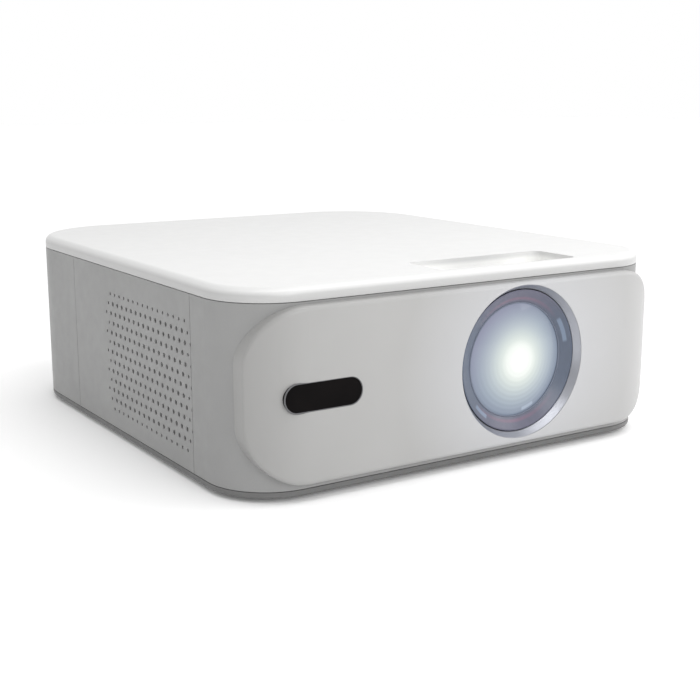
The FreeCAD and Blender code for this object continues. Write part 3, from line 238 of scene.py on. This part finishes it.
def dimmed(colour, share):
    """A colour made darker or lighter by a share."""
    return tuple(min(1.0, part * share) for part in colour)


def moulded(name, colour, rough=0.42, grain=1600.0, depth=0.00002, edge=0.0004, cloud=0.05):
    """Moulded plastic: grain, faint clouding, and shine that varies."""
    look = Finish(name)
    clouds = look.noise(18.0, 4.0)
    speck = look.noise(grain * 0.6, 2.0, 0.7)
    dark = dimmed(colour, 1 - cloud)
    light = dimmed(colour, 1 + cloud)
    tone = look.math("ADD", look.math("MULTIPLY", clouds, 0.8), look.math("MULTIPLY", speck, 0.2))
    base = look.ramp(tone, ((0.3, dark), (0.7, light)))
    shine = look.ranged(look.noise(140.0, 3.0), 0.3, 0.7, rough - 0.05, rough + 0.06)
    look.set(base_color=base, roughness=shine)
    return look.bump(look.noise(grain, 3.0, 0.6), depth, edge).material


def white_satin(name, colour, edge):
    """Smooth white plastic, with painted light and shade: painted lighter to the front, painted shade on the
    side band, painted light in the finger well.
    """
    look = Finish(name)
    # painted light: the cover is painted darker toward the rear and lighter toward the front
    shaded_rear = dimmed(colour, 0.88)
    base = look.mix(look.ranged(look.split()[1], 0.11, -0.12, 0.0, 1.0), (*shaded_rear, 1), (*colour, 1))
    base = look.mix(look.ranged(look.noise(14.0, 3.0), 0.35, 0.65, 0.0, 0.12), base, (*shaded_rear, 1))
    x, y, z = look.split()
    low, high = WELL
    # painted shade on the cover's side band, below its top
    side = look.ranged(z, *COVER_SHADE_BAND, 0.0, 1.0)
    within = [look.math("COMPARE", place, (low[way] + high[way]) / 2, (high[way] - low[way]) / 2 + 0.002)
              for way, place in enumerate((x, y))]
    inside = look.math("MULTIPLY", *within)
    # painted shade (0.7 of the colour) on the side band, painted light (near white) in the finger well
    under = look.mix(inside, dimmed(colour, 0.7) + (1,), (0.9, 0.9, 0.885, 1))
    base = look.mix(side, base, under)
    look.set(base_color=base, roughness=look.ranged(look.noise(120.0), 0.3, 0.7, 0.3, 0.36))
    return look.bump(look.noise(260.0, 1.0), 0.000002, edge).material


def silver_paint(name, colour):
    """Silver-grey satin paint, with painted shade at the left end, painted light at the right and painted
    bluish light round the lens.
    """
    look = Finish(name)
    base = look.ramp(look.noise(11.0, 3.0), ((0.0, dimmed(colour, 0.94)),
                                             (1.0, dimmed(colour, 1.06))))
    reach, _ = look.about_lens()
    # painted light: the plate turns bluish-light round the lens
    near = look.ranged(reach, 0.075, 0.038, 0.0, 0.16)
    base = look.mix(near, base, (0.75, 0.78, 0.86, 1))
    across = look.split()[0]
    # painted shade toward the plate's left end
    base = look.mix(look.ranged(across, -0.06, -0.125, 0.0, 0.3), base, (0.16, 0.16, 0.155, 1))
    # painted light toward the plate's right end
    base = look.mix(look.ranged(across, -0.04, 0.11, 0.0, 0.1), base, (0.72, 0.72, 0.75, 1))
    look.set(base_color=base, roughness=look.ranged(look.noise(30.0), 0.0, 1.0, 0.3, 0.38))
    return look.bump(look.noise(40.0, 1.0), 0.000004).material


def metal(name, colour, rough=0.3, lines=(0.0, 0.0, 0.0), depth=0.00001, metallic=1.0):
    """Metal with drawn or cut lines across the given direction."""
    look = Finish(name)
    stretched = look.vector("MULTIPLY", look.place, lines)
    streaks = look.noise(1.0, 5.0, 0.7, stretched)
    blotch = look.noise(60.0, 3.0)
    base = look.ramp(blotch, ((0.3, dimmed(colour, 0.86)), (0.7, colour)))
    look.set(base_color=base, roughness=look.ranged(streaks, 0.3, 0.7, rough - 0.08, rough + 0.1))
    look.set(metallic=metallic)
    return look.bump(streaks, depth, 0.0002).material


def turned_metal(name, colour, rough=0.3, pitch=0.0005):
    """Metal cut on a lathe, with fine rings about the lens axis."""
    look = Finish(name)
    reach, _ = look.about_lens()
    wave = look.math("SINE", look.math("MULTIPLY", reach, 2 * math.pi / pitch))
    blotch = look.noise(20.0, 3.0)
    base = look.ramp(blotch, ((0.0, dimmed(colour, 0.85)), (1.0, colour)))
    look.set(base_color=base, metallic=0.85)
    look.set(roughness=look.ranged(look.noise(60.0), 0.0, 1.0, rough, rough + 0.1))
    return look.bump(wave, 0.0000001, 0.0003).material


def circuit(name, mask, copper=(0.10, 0.20, 0.06)):
    """A coated circuit board with tracks and pads under the coat."""
    look = Finish(name)
    tracks = look.add("ShaderNodeTexBrick", {"Vector": look.place, "Scale": 260.0, "Mortar Size": 0.09,
                                             "Brick Width": 2.2, "Row Height": 0.5, "Mortar Smooth": 0.1},
                      offset=0.37, squash=1.6, squash_frequency=3)
    pads = look.add("ShaderNodeTexVoronoi", {"Vector": look.place, "Scale": 320.0}, feature="F1")
    dots = look.ramp(pads.outputs["Distance"], ((0.14, (1, 1, 1)), (0.17, (0, 0, 0))))
    base = look.mix(tracks.outputs["Fac"], (*mask, 1), (*copper, 1))
    base = look.mix(dots, base, (0.5, 0.42, 0.2, 1))
    look.set(base_color=base, roughness=look.ranged(look.noise(400.0), 0.3, 0.7, 0.25, 0.4))
    return look.bump(tracks.outputs["Fac"], 0.00003, 0.0002).material


def woven(name, colour, pitch):
    """Plain weave: threads over and under each other in the wall's plane."""
    look = Finish(name)
    parts = look.split()
    across = look.math("SINE", look.math("MULTIPLY", parts[1], 2 * math.pi / pitch))
    up = look.math("SINE", look.math("MULTIPLY", parts[2], 2 * math.pi / pitch))
    weave = look.math("MULTIPLY", across, up)
    base = look.ramp(look.ranged(weave, -1.0, 1.0, 0.0, 1.0),
                     ((0.0, dimmed(colour, 0.3)), (1.0, dimmed(colour, 1.8))))
    look.set(base_color=base, roughness=0.85)
    return look.bump(weave, 0.0001).material


def clear_glass(name, tint, alpha, rough=0.03):
    """Clear glass or plastic with faint dust and wiping marks."""
    look = Finish(name)
    dust = look.noise(900.0, 2.0, 0.7)
    base = look.ramp(look.noise(30.0), ((0.3, tint), (0.7, dimmed(tint, 1.1))))
    look.set(base_color=base, roughness=look.ranged(dust, 0.5, 0.75, rough, rough + 0.12))
    look.set(alpha=alpha, coat_weight=1.0, coat_roughness=0.02)
    return look.bump(look.noise(70.0), 0.000006).material


def smoked_window(name):
    """The near-black filter over the receivers, a little red in depth."""
    look = Finish(name)
    base = look.ramp(look.noise(40.0), ((0.3, (0.003, 0.0028, 0.003)), (0.7, (0.006, 0.005, 0.005))))
    look.set(base_color=base, roughness=look.ranged(look.noise(500.0), 0.4, 0.7, 0.07, 0.14))
    look.set(specular_ior_level=0.03)
    return look.bump(look.noise(60.0), 0.000004, 0.0003).material


# share of GLASS_REACH, and the colour of the painted light there
PAINTED_GLASS_LIGHT = (
    (0.0, shade(255, 255, 253)), (0.12, shade(253, 255, 250)), (0.24, shade(240, 245, 239)),
    (0.31, shade(222, 230, 223)), (0.44, shade(195, 205, 206)), (0.52, shade(185, 195, 200)),
    (0.65, shade(157, 169, 181)), (0.75, shade(149, 159, 174)), (0.86, shade(120, 132, 150)))


def lit_glass(name, glow):
    """The front glass with painted light in it: it glows white in the middle and blue-grey outside."""
    look = Finish(name)
    reach, parts = look.about_lens()
    share = look.math("DIVIDE", reach, GLASS_REACH)
    # painted light: a ramp from white at the lens axis to blue-grey toward the glass's edge
    light = look.ramp(share, PAINTED_GLASS_LIGHT, "B_SPLINE")
    # painted violet tint in the painted light, toward the upper left of the glass's outer part
    lean = look.math("ADD", look.math("MULTIPLY", parts[0], -12.0), look.math("MULTIPLY", parts[2], 14.0))
    outer = look.ranged(share, 0.35, 0.8, 0.0, 0.55)
    painted_violet_tint = look.math("MULTIPLY", look.ranged(lean, 0.05, 0.7, 0.0, 1.0), outer)
    light = look.mix(painted_violet_tint, light, (*shade(150, 140, 168), 1))
    # faint painted rings in the painted light, strongest low on the glass
    rings = look.math("SINE", look.math("MULTIPLY", reach, 2 * math.pi / 0.0024))
    faint = look.math("MULTIPLY", look.ranged(parts[2], 0.005, -0.02, 0.0, 0.035), rings)
    light = look.mix(1.0, light, look.add("ShaderNodeCombineColor", {
        key: look.math("ADD", faint, 1.0) for key in ("Red", "Green", "Blue")}).outputs[0], "MULTIPLY")
    # the base colour is mostly near black, with a share of the painted light
    look.set(base_color=look.mix(0.85, light, (0.02, 0.022, 0.03, 1)))
    # painted glint: a light-blue arc low on the glass, right of the middle
    painted_glint = look.arc(reach, parts, 0.0265, 0.0012, -71, 9)
    light = look.mix(look.math("MULTIPLY", painted_glint, 0.5), light, (*shade(196, 210, 226), 1))
    # the glass gives out the painted light as glow, though it is no lamp
    look.set(emission_color=light, emission_strength=glow, coat_weight=0.12, coat_roughness=0.04)
    look.set(specular_ior_level=0.2)
    look.set(roughness=look.ranged(look.noise(800.0), 0.45, 0.75, 0.04, 0.1))
    return look.bump(look.noise(50.0), 0.000003).material


def barrel_paint(name, colour):
    """Satin blue-grey paint on the barrel, with a painted violet sheen above and below the glass and painted
    glints on the rim.
    """
    look = Finish(name)
    reach, parts = look.about_lens()
    height = look.math("ABSOLUTE", parts[2])
    # painted violet sheen on the rim round the glass, above and below it
    painted_sheen_rise = look.ranged(height, 0.018, 0.032, 0.0, 0.45)
    off = look.math("ABSOLUTE", look.math("SUBTRACT", reach, 0.0312))
    band = look.ranged(off, 0.0011, 0.0002, 0.25, 1.0)
    base = look.mix(look.math("MULTIPLY", painted_sheen_rise, band), (*colour, 1), (0.26, 0.10, 0.16, 1))
    base = look.mix(look.ranged(look.noise(300.0), 0.3, 0.7, 0.0, 0.2), base, (0.04, 0.05, 0.07, 1))
    rings = look.math("SINE", look.math("MULTIPLY", reach, 2 * math.pi / 0.0006))
    # painted glints: pale blue-grey arcs on the rim, right and lower left of the glass
    right = look.arc(reach, parts, 0.0322, 0.0012, 23, 13)
    left = look.arc(reach, parts, 0.0325, 0.0011, -134, 9)
    painted_glint = look.math("MULTIPLY", look.math("ADD", right, left, clamp=True), 0.42)
    look.set(base_color=look.mix(painted_glint, base, (*shade(140, 158, 182), 1)))
    look.set(roughness=look.ranged(look.noise(250.0), 0.3, 0.7, 0.3, 0.42))
    look.set(coat_weight=0.3, coat_roughness=0.15)
    return look.bump(rings, 0.000004, 0.0002).material


# --- Making and placing -------------------------------------------------------------------

def dress(material, *names):
    """Give CAD nodes one finish."""
    for name in names:
        slots = NODES[name].material_slots
        if not slots:
            NODES[name].data.materials.append(material)
        for slot in NODES[name].material_slots:
            slot.material = material


def built(name, fill, material, body="case", smooth=False):
    """A piece from a bmesh routine, riding on a body."""
    mesh = bpy.data.meshes.new(name)
    sketch = bmesh.new()
    fill(sketch)
    bmesh.ops.recalc_face_normals(sketch, faces=sketch.faces)
    sketch.to_mesh(mesh)
    sketch.free()
    mesh.materials.append(material)
    if smooth:
        mesh.shade_smooth()
    piece = bpy.data.objects.new(name, mesh)
    bpy.context.scene.collection.objects.link(piece)
    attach(piece, body)
    return piece


def spun(profile, centre, axis="Y", steps=96):
    """A routine that turns a closed profile of (along, out) points about an axis."""
    def fill(sketch):
        rings = []
        for step in range(steps):
            angle = 2 * math.pi * step / steps
            ring = []
            for along, out in profile:
                flat = (out * math.cos(angle), out * math.sin(angle))
                place = {"X": (along, *flat), "Y": (flat[0], along, flat[1]), "Z": (*flat, along)}[axis]
                ring.append(sketch.verts.new(Vector(centre) + Vector(place)))
            rings.append(ring)
        for step in range(steps):
            here, there = rings[step], rings[(step + 1) % steps]
            for index in range(len(profile)):
                after = (index + 1) % len(profile)
                sketch.faces.new((here[index], here[after], there[after], there[index]))
    return fill


def loop_bead(name, points, thick, material, body="case", closed=True):
    """A round bead along points."""
    curve = bpy.data.curves.new(name, "CURVE")
    curve.dimensions = "3D"
    curve.bevel_depth = thick
    curve.bevel_resolution = 3
    line = curve.splines.new("POLY")
    line.points.add(len(points) - 1)
    for point, place in zip(line.points, points):
        point.co = (*place, 1.0)
    line.use_cyclic_u = closed
    curve.materials.append(material)
    piece = bpy.data.objects.new(name, curve)
    bpy.context.scene.collection.objects.link(piece)
    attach(piece, body)
    return piece


def stadium(centre, half, radius, steps=16):
    """Points round a lying stadium that faces the front."""
    points = []
    for side in (1, -1):
        for step in range(steps + 1):
            angle = math.radians(90 * side - 180 * step / steps)
            points.append(Vector(centre) + Vector((side * half + radius * math.cos(angle), 0,
                                                   radius * math.sin(angle))))
    return points


class Piece(Operator):
    """Shared settings of the operators."""
    bl_options = {"REGISTER"}


class PROJECTOR_OT_case(Piece):
    """Finish the white cover, the grey walls, the tray and the stand"""
    bl_idname = "projector.case"
    bl_label = "Case"

    def execute(self, context):
        look = context.scene.projector_case
        dress(white_satin("cover_satin", look.cover, look.edge), "top_cover")
        grey = moulded("grey_grained", look.wall, 0.46, 1900.0, look.grain * 1.4, look.edge, 0.06)
        dress(grey, "front_shell", "rear_shell", "left_side_panel", "right_side_panel")
        dark = dimmed(look.wall, 0.5)
        dress(moulded("tray_grained", dark, 0.5, 1500.0, look.grain * 1.6, look.edge, 0.06), "bottom_tray",
              "tilt_stand")
        return {"FINISHED"}


class PROJECTOR_OT_front(Piece):
    """Finish the raised front plate and set the bead round the dark window"""
    bl_idname = "projector.front"
    bl_label = "Front plate and window"

    def execute(self, context):
        look = context.scene.projector_case
        dress(silver_paint("plate_silver", look.plate), "front_plate")
        dress(smoked_window("smoked_filter"), "sensor_window")
        low, high = corners("sensor_window")
        width, height = high.x - low.x, high.z - low.z
        bead = 0.0004
        centre = middle("sensor_window")
        centre.y = CAD_BOX[0][1] + bead
        rim = moulded("window_rim_satin", (0.10, 0.10, 0.105), 0.35)
        points = stadium(centre, (width - height) / 2, height / 2 + 0.0001)
        loop_bead("window_rim", points, bead, rim)
        return {"FINISHED"}


class PROJECTOR_OT_lens(Piece):
    """Finish the trim ring, the barrel, the glasses and the focus ring"""
    bl_idname = "projector.lens"
    bl_label = "Lens"

    def execute(self, context):
        look = context.scene.projector_lens
        black = context.scene.projector_inside.black
        dress(turned_metal("turned_trim", look.trim), "lens_trim_ring")
        dress(barrel_paint("barrel_satin", look.rim), "lens_barrel")
        dress(lit_glass("lit_front_glass", look.glow), "front_lens")
        coated = clear_glass("coated_glass", (0.55, 0.6, 0.75), 0.35)
        dress(coated, "second_lens", "third_lens", "rear_lens", "condenser_lens")
        self.seal_glass(moulded("seal_rubber", (0.13, 0.15, 0.2), 0.5, 1500.0))
        dress(moulded("ring_rubbery", black, 0.6, 900.0, 0.00003), "focus_ring")
        dress(moulded("sleeve_satin", (0.16, 0.175, 0.21), 0.45, 1500.0), "lens_sleeve")
        dress(moulded("lens_black", black, 0.5, 1500.0), "focus_ring_clip", "lens_baffle",
              "rear_retaining_ring")
        return {"FINISHED"}

    def seal_glass(self, rubber):
        """A thin lip between the front glass and the barrel."""
        front = corners("lens_barrel")[0].y
        inner, outer = 0.0286, 0.0293
        lip = [(front + 0.0026, inner), (front + 0.0026, outer), (front + 0.0034, outer),
               (front + 0.0037, inner)]
        built("glass_seal", spun(lip, (LENS.x, 0, LENS.z)), rubber, "lens_cell",
              smooth=True)


class PROJECTOR_OT_inside(Piece):
    """Finish the light engine, the fans, the boards and the loudspeakers"""
    bl_idname = "projector.inside"
    bl_label = "Inside"

    def execute(self, context):
        look = context.scene.projector_inside
        black = moulded("black_moulding", look.black, 0.5, 1400.0)
        dress(black, "engine_housing", "engine_cover", "lcd_frame", "outlet_fan_frame", "outlet_fan_rotor",
              "intake_fan_frame", "intake_fan_rotor", "dust_filter_frame", "mains_inlet", "audio_jack",
              "left_speaker_box", "right_speaker_box")
        dress(clear_glass("heat_filter", (0.7, 0.85, 0.8), 0.35), "heat_glass")
        dress(clear_glass("picture_panel", (0.12, 0.12, 0.16), 0.7), "lcd_panel")
        grooved = clear_glass("grooved_plastic", (0.8, 0.84, 0.88), 0.3, 0.1)
        dress(grooved, "front_fresnel_lens", "rear_fresnel_lens")
        dress(metal("extruded_aluminium", (0.62, 0.63, 0.65), 0.36, (60.0, 60.0, 3000.0)), "lamp_heatsink",
              "processor_heatsink", "led_module")
        dress(metal("zinc_steel", (0.5, 0.5, 0.51), 0.34, (40.0, 2500.0, 40.0)), "case_screws",
              "supply_bracket", "board_screws", "hdmi_socket", "usb_socket", "stand_pin", "focus_drive_pins")
        dress(metal("turned_brass", (0.62, 0.45, 0.18), 0.3, (50.0, 50.0, 2600.0)), "tripod_insert")
        dress(circuit("green_board", look.board), "main_board", "sensor_board", "key_board")
        dress(circuit("tan_board", (0.22, 0.14, 0.05), (0.3, 0.2, 0.08)), "power_supply_board")
        cloth = woven("grille_weave", (0.03, 0.03, 0.032), 0.01 / look.threads)
        dress(cloth, "left_grille_cloth", "right_grille_cloth")
        dress(moulded("pressed_paper", (0.035, 0.035, 0.038), 0.8, 700.0, 0.00006), "left_speaker_cone",
              "right_speaker_cone")
        dress(metal("painted_basket", (0.05, 0.05, 0.055), 0.45, (900.0, 900.0, 900.0), 0.00001, 0.4),
              "left_speaker_frame", "right_speaker_frame")
        self.fill_filter()
        self.cap_cones()
        return {"FINISHED"}

    def fill_filter(self):
        """A sheet of open foam in the dust filter's frame."""
        low, high = corners("dust_filter_frame")
        shuffle = Random(7)
        count, edge, rough = 40, 0.002, 0.0006
        x = (low.x + high.x) / 2
        wide, tall = high.y - low.y - 2 * edge, high.z - low.z - 2 * edge

        def fill(sketch):
            rows = []
            for row in range(count + 1):
                line = []
                for column in range(count + 1):
                    depth = rough * shuffle.uniform(-1, 1)
                    line.append(sketch.verts.new((x + depth, low.y + edge + wide * column / count,
                                                  low.z + edge + tall * row / count)))
                rows.append(line)
            for row in range(count):
                for column in range(count):
                    sketch.faces.new((rows[row][column], rows[row][column + 1], rows[row + 1][column + 1],
                                      rows[row + 1][column]))
            bmesh.ops.solidify(sketch, geom=list(sketch.faces), thickness=0.0008)

        foam = woven("filter_foam_grey", (0.05, 0.05, 0.05), 0.0016)
        built("filter_foam", fill, foam, smooth=True)

    def cap_cones(self):
        """A pressed dust cap and a rolled soft edge on each loudspeaker."""
        paper = moulded("cap_paper", (0.05, 0.05, 0.052), 0.7, 900.0, 0.00004)
        cap_radius, cap_height, cap_floor, centre_gap = 0.0058, 0.0022, 0.0003, 0.00002
        edge_radius, edge_half, edge_height, edge_thick = 0.0139, 0.0007, 0.0009, 0.0003
        for side, word in ((-1, "left"), (1, "right")):
            low, high = corners(f"{word}_speaker_cone")
            inner, outer = (high.x, low.x) if side < 0 else (low.x, high.x)
            centre = (0, (low.y + high.y) / 2, (low.z + high.z) / 2)
            cap = [(inner + side * (2 * cap_floor + cap_height * math.cos(step * math.pi / 16)),
                    max(cap_radius * math.sin(step * math.pi / 16), centre_gap)) for step in range(9)]
            cap += [(inner + side * cap_floor, cap_radius), (inner + side * cap_floor, centre_gap)]
            built(f"{word}_dust_cap", spun(cap, centre, "X", 48), paper, smooth=True)
            roll = [(outer - side * edge_thick + side * edge_height * math.sin(step * math.pi / 8),
                     edge_radius - edge_half * math.cos(step * math.pi / 8)) for step in range(9)]
            roll += [(place - side * edge_thick, out) for place, out in reversed(roll)]
            built(f"{word}_soft_edge", spun(roll, centre, "X", 64), paper, smooth=True)


class PROJECTOR_OT_feet(Piece):
    """Finish the rubber feet"""
    bl_idname = "projector.feet"
    bl_label = "Feet"

    def execute(self, context):
        dress(moulded("foot_rubber", (0.02, 0.02, 0.02), 0.75, 1100.0, 0.00006), "rubber_feet")
        return {"FINISHED"}


def bars(places, size):
    """A routine that makes small bevelled bars at the given middles."""
    def fill(sketch):
        for place in places:
            shape = Matrix.Translation(place) @ Matrix.Diagonal((*size, 1.0))
            made = bmesh.ops.create_cube(sketch, size=1.0, matrix=shape)
            edges = {edge for vert in made["verts"] for edge in vert.link_edges}
            bmesh.ops.bevel(sketch, geom=list(edges), offset=min(size) * 0.2, segments=2, affect="EDGES")
    return fill


class PROJECTOR_OT_rear(Piece):
    """Finish the power button and set its mark, its lamp and the sockets' contacts"""
    bl_idname = "projector.rear"
    bl_label = "Rear"

    def execute(self, context):
        dress(moulded("button_gloss", (0.03, 0.03, 0.034), 0.25, 2200.0, 0.000008), "power_button")
        self.mark_button()
        self.fit_contacts()
        return {"FINISHED"}

    def mark_button(self):
        """The broken ring and stroke of a power mark, and a small lamp in their middle."""
        low, high = corners("power_button")
        centre = Vector(((low.x + high.x) / 2, high.y, (low.z + high.z) / 2))
        paint = moulded("mark_paint", (0.5, 0.5, 0.52), 0.5, 3000.0, 0.000004)
        reach, line = 0.0029, 0.00018
        turns = [math.radians(angle) for angle in range(32, 329, 8)]
        arc = [centre + Vector((reach * math.sin(turn), 0, reach * math.cos(turn))) for turn in turns]
        loop_bead("button_mark_ring", arc, line, paint, "power_button", closed=False)
        stroke = [centre + Vector((0, 0, 0.0019)), centre + Vector((0, 0, 0.0036))]
        loop_bead("button_mark_stroke", stroke, line, paint, "power_button", closed=False)
        lamp = Finish("lamp_lens")
        tone = lamp.ramp(lamp.noise(900.0), ((0.3, (0.30, 0.42, 0.6)), (0.7, (0.42, 0.55, 0.72))))
        lamp.set(base_color=tone, emission_color=tone, emission_strength=0.35, roughness=0.3)
        dome = [(high.y - 0.0006, 0.00002), (high.y - 0.0006, 0.0009), (high.y - 0.0003, 0.0009),
                (high.y - 0.0001, 0.0006), (high.y - 0.00002, 0.00002)]
        built("button_lamp", spun(dome, (centre.x, 0, centre.z), steps=24), lamp.material,
              "power_button", smooth=True)

    def fit_contacts(self):
        """Gold contacts in the two small sockets and two plated pins in the mains inlet."""
        gold = metal("gold_contacts", (0.72, 0.5, 0.16), 0.25, (2000.0, 60.0, 60.0), 0.000004)
        low, high = corners("hdmi_socket")
        x = (low.x + high.x) / 2
        fine = [Vector((x + (step - 4.5) * 0.001, high.y - 0.0055, 0.01904)) for step in range(10)]
        built("video_contacts", bars(fine, (0.00045, 0.007, 0.0001)), gold)
        low, high = corners("usb_socket")
        x = (low.x + high.x) / 2
        wide = [Vector((x + (step - 1.5) * 0.0023, high.y - 0.006, 0.01856)) for step in range(4)]
        built("data_contacts", bars(wide, (0.0012, 0.007, 0.0001)), gold)
        plated = metal("plated_pin", (0.6, 0.58, 0.52), 0.22, (60.0, 2000.0, 60.0), 0.000003)
        low, high = corners("mains_inlet")
        pin_offset, pin_depth, pin_length = 0.0041, 0.0056, 0.0082
        for side, word in ((-1, "left"), (1, "right")):
            axis = ((low.x + high.x) / 2 + side * pin_offset, 0, (low.z + high.z) / 2)
            tip, root = high.y - pin_depth, high.y - pin_depth - pin_length
            shape = [(root, 0.00121), (tip - 0.0008, 0.00124), (tip - 0.0003, 0.0011),
                     (tip + 0.0001, 0.0006), (tip + 0.00015, 0.00003), (root, 0.00003)]
            built(f"mains_pin_{word}", spun(shape, axis, steps=32), plated, smooth=True)


# --- Stage --------------------------------------------------------------------------------

def softbox(name, place, target, size, power):
    """A rectangular light that faces a point."""
    data = bpy.data.lights.new(name, "AREA")
    data.shape = "RECTANGLE"
    data.size, data.size_y = size
    data.energy = power
    light = bpy.data.objects.new(name, data)
    light.location = place
    light.rotation_euler = (Vector(target) - Vector(place)).to_track_quat("-Z", "Y").to_euler()
    bpy.context.scene.collection.objects.link(light)


def studio_world(level=0.93, rightward=0.33, upward=0.08):
    """White surroundings, which light the object a little more from above and from the right."""
    world = bpy.data.worlds.new("studio")
    world.use_nodes = True
    tree = world.node_tree
    ground = tree.nodes["Background"]
    way = tree.nodes.new("ShaderNodeSeparateXYZ")
    tree.links.new(tree.nodes.new("ShaderNodeTexCoord").outputs["Generated"], way.inputs[0])
    across = tree.nodes.new("ShaderNodeMath")
    across.operation = "MULTIPLY_ADD"
    across.inputs[1].default_value = rightward
    across.inputs[2].default_value = level
    tree.links.new(way.outputs["X"], across.inputs[0])
    lift = tree.nodes.new("ShaderNodeMath")
    lift.operation = "MULTIPLY_ADD"
    lift.inputs[1].default_value = upward
    tree.links.new(way.outputs["Z"], lift.inputs[0])
    tree.links.new(across.outputs[0], lift.inputs[2])
    seen = tree.nodes.new("ShaderNodeMix")
    seen.inputs[3].default_value = 1.0
    tree.links.new(tree.nodes.new("ShaderNodeLightPath").outputs["Is Camera Ray"], seen.inputs[0])
    tree.links.new(lift.outputs[0], seen.inputs[2])
    tree.links.new(seen.outputs[0], ground.inputs["Strength"])
    ground.inputs["Color"].default_value = (1, 1, 1, 1)
    return world


# name, place, the point it faces, width and height, power in watts
LIGHTS = (("right_light", (0.5, -0.42, 0.3), (0.16, -0.14, 0.06), (0.3, 0.3), 0.5),
          ("front_light", (0.0, -1.3, 0.5), (0, 0, 0.05), (0.8, 0.4), 3.2),
          ("top_light", (0.0, -0.45, 1.1), (0, -0.1, 0), (1.2, 0.3), 1.2),
          ("strip_light", (0.0, -0.5, 1.05), (0, -0.1, 0), (1.4, 0.04), 1.6))


class PROJECTOR_OT_stage(Piece):
    """Lay the floor, set the lights and place the camera"""
    bl_idname = "projector.stage"
    bl_label = "Stage"

    def execute(self, context):
        look = context.scene.projector_stage
        scene = context.scene
        mesh = bpy.data.meshes.new("floor")
        sketch = bmesh.new()
        bmesh.ops.create_grid(sketch, x_segments=4, y_segments=4, size=6.0)
        sketch.to_mesh(mesh)
        sketch.free()
        floor = bpy.data.objects.new("floor", mesh)
        scene.collection.objects.link(floor)
        paper = Finish("floor_paper")
        fibre = paper.noise(400.0, 4.0)
        tones = ((0.3, dimmed(look.floor, 0.985)), (0.7, look.floor))
        paper.set(base_color=paper.ramp(fibre, tones))
        paper.set(roughness=0.9, emission_color=(1, 1, 1, 1), emission_strength=0.07)
        paper.bump(fibre, 0.00005)
        mesh.materials.append(paper.material)
        for light in LIGHTS:
            softbox(*light)
        scene.world = studio_world()
        scene.view_settings.view_transform = "Standard"
        data = bpy.data.cameras.new("camera")
        data.lens = look.focal
        data.sensor_width = 36.0
        data.clip_start = 0.01
        camera = bpy.data.objects.new("camera", data)
        camera.location = look.eye
        camera.rotation_euler = (math.pi / 2 - look.tilt, 0, -look.turn)
        scene.collection.objects.link(camera)
        scene.camera = camera
        return {"FINISHED"}


class VIEW3D_PT_projector(Panel):
    """Lists the steps and the sizes and colours they use"""
    bl_label = "Home projector"
    bl_space_type = "VIEW_3D"
    bl_region_type = "UI"
    bl_category = "Projector"

    def draw(self, context):
        for kind in STEPS:
            self.layout.operator(kind.bl_idname)
        for name, group in LOOKS.items():
            column = self.layout.column(align=True)
            column.label(text=group.__doc__)
            for prop in group.__annotations__:
                column.prop(getattr(context.scene, name), prop)


STEPS = (PROJECTOR_OT_case, PROJECTOR_OT_front, PROJECTOR_OT_lens, PROJECTOR_OT_inside, PROJECTOR_OT_rear,
         PROJECTOR_OT_feet, PROJECTOR_OT_stage)
LOOKS = {"projector_case": CaseLook, "projector_lens": LensLook, "projector_inside": InsideLook,
         "projector_stage": StageLook}
CLASSES = (*LOOKS.values(), *STEPS, VIEW3D_PT_projector)


def register():
    for kind in CLASSES:
        bpy.utils.register_class(kind)
    for name, group in LOOKS.items():
        setattr(bpy.types.Scene, name, PointerProperty(type=group))


def unregister():
    for name in LOOKS:
        delattr(bpy.types.Scene, name)
    for kind in reversed(CLASSES):
        bpy.utils.unregister_class(kind)


def main():
    register()
    for kind in STEPS:
        group, name = kind.bl_idname.split(".")
        getattr(getattr(bpy.ops, group), name)()


if __name__ == "__main__":
    main()
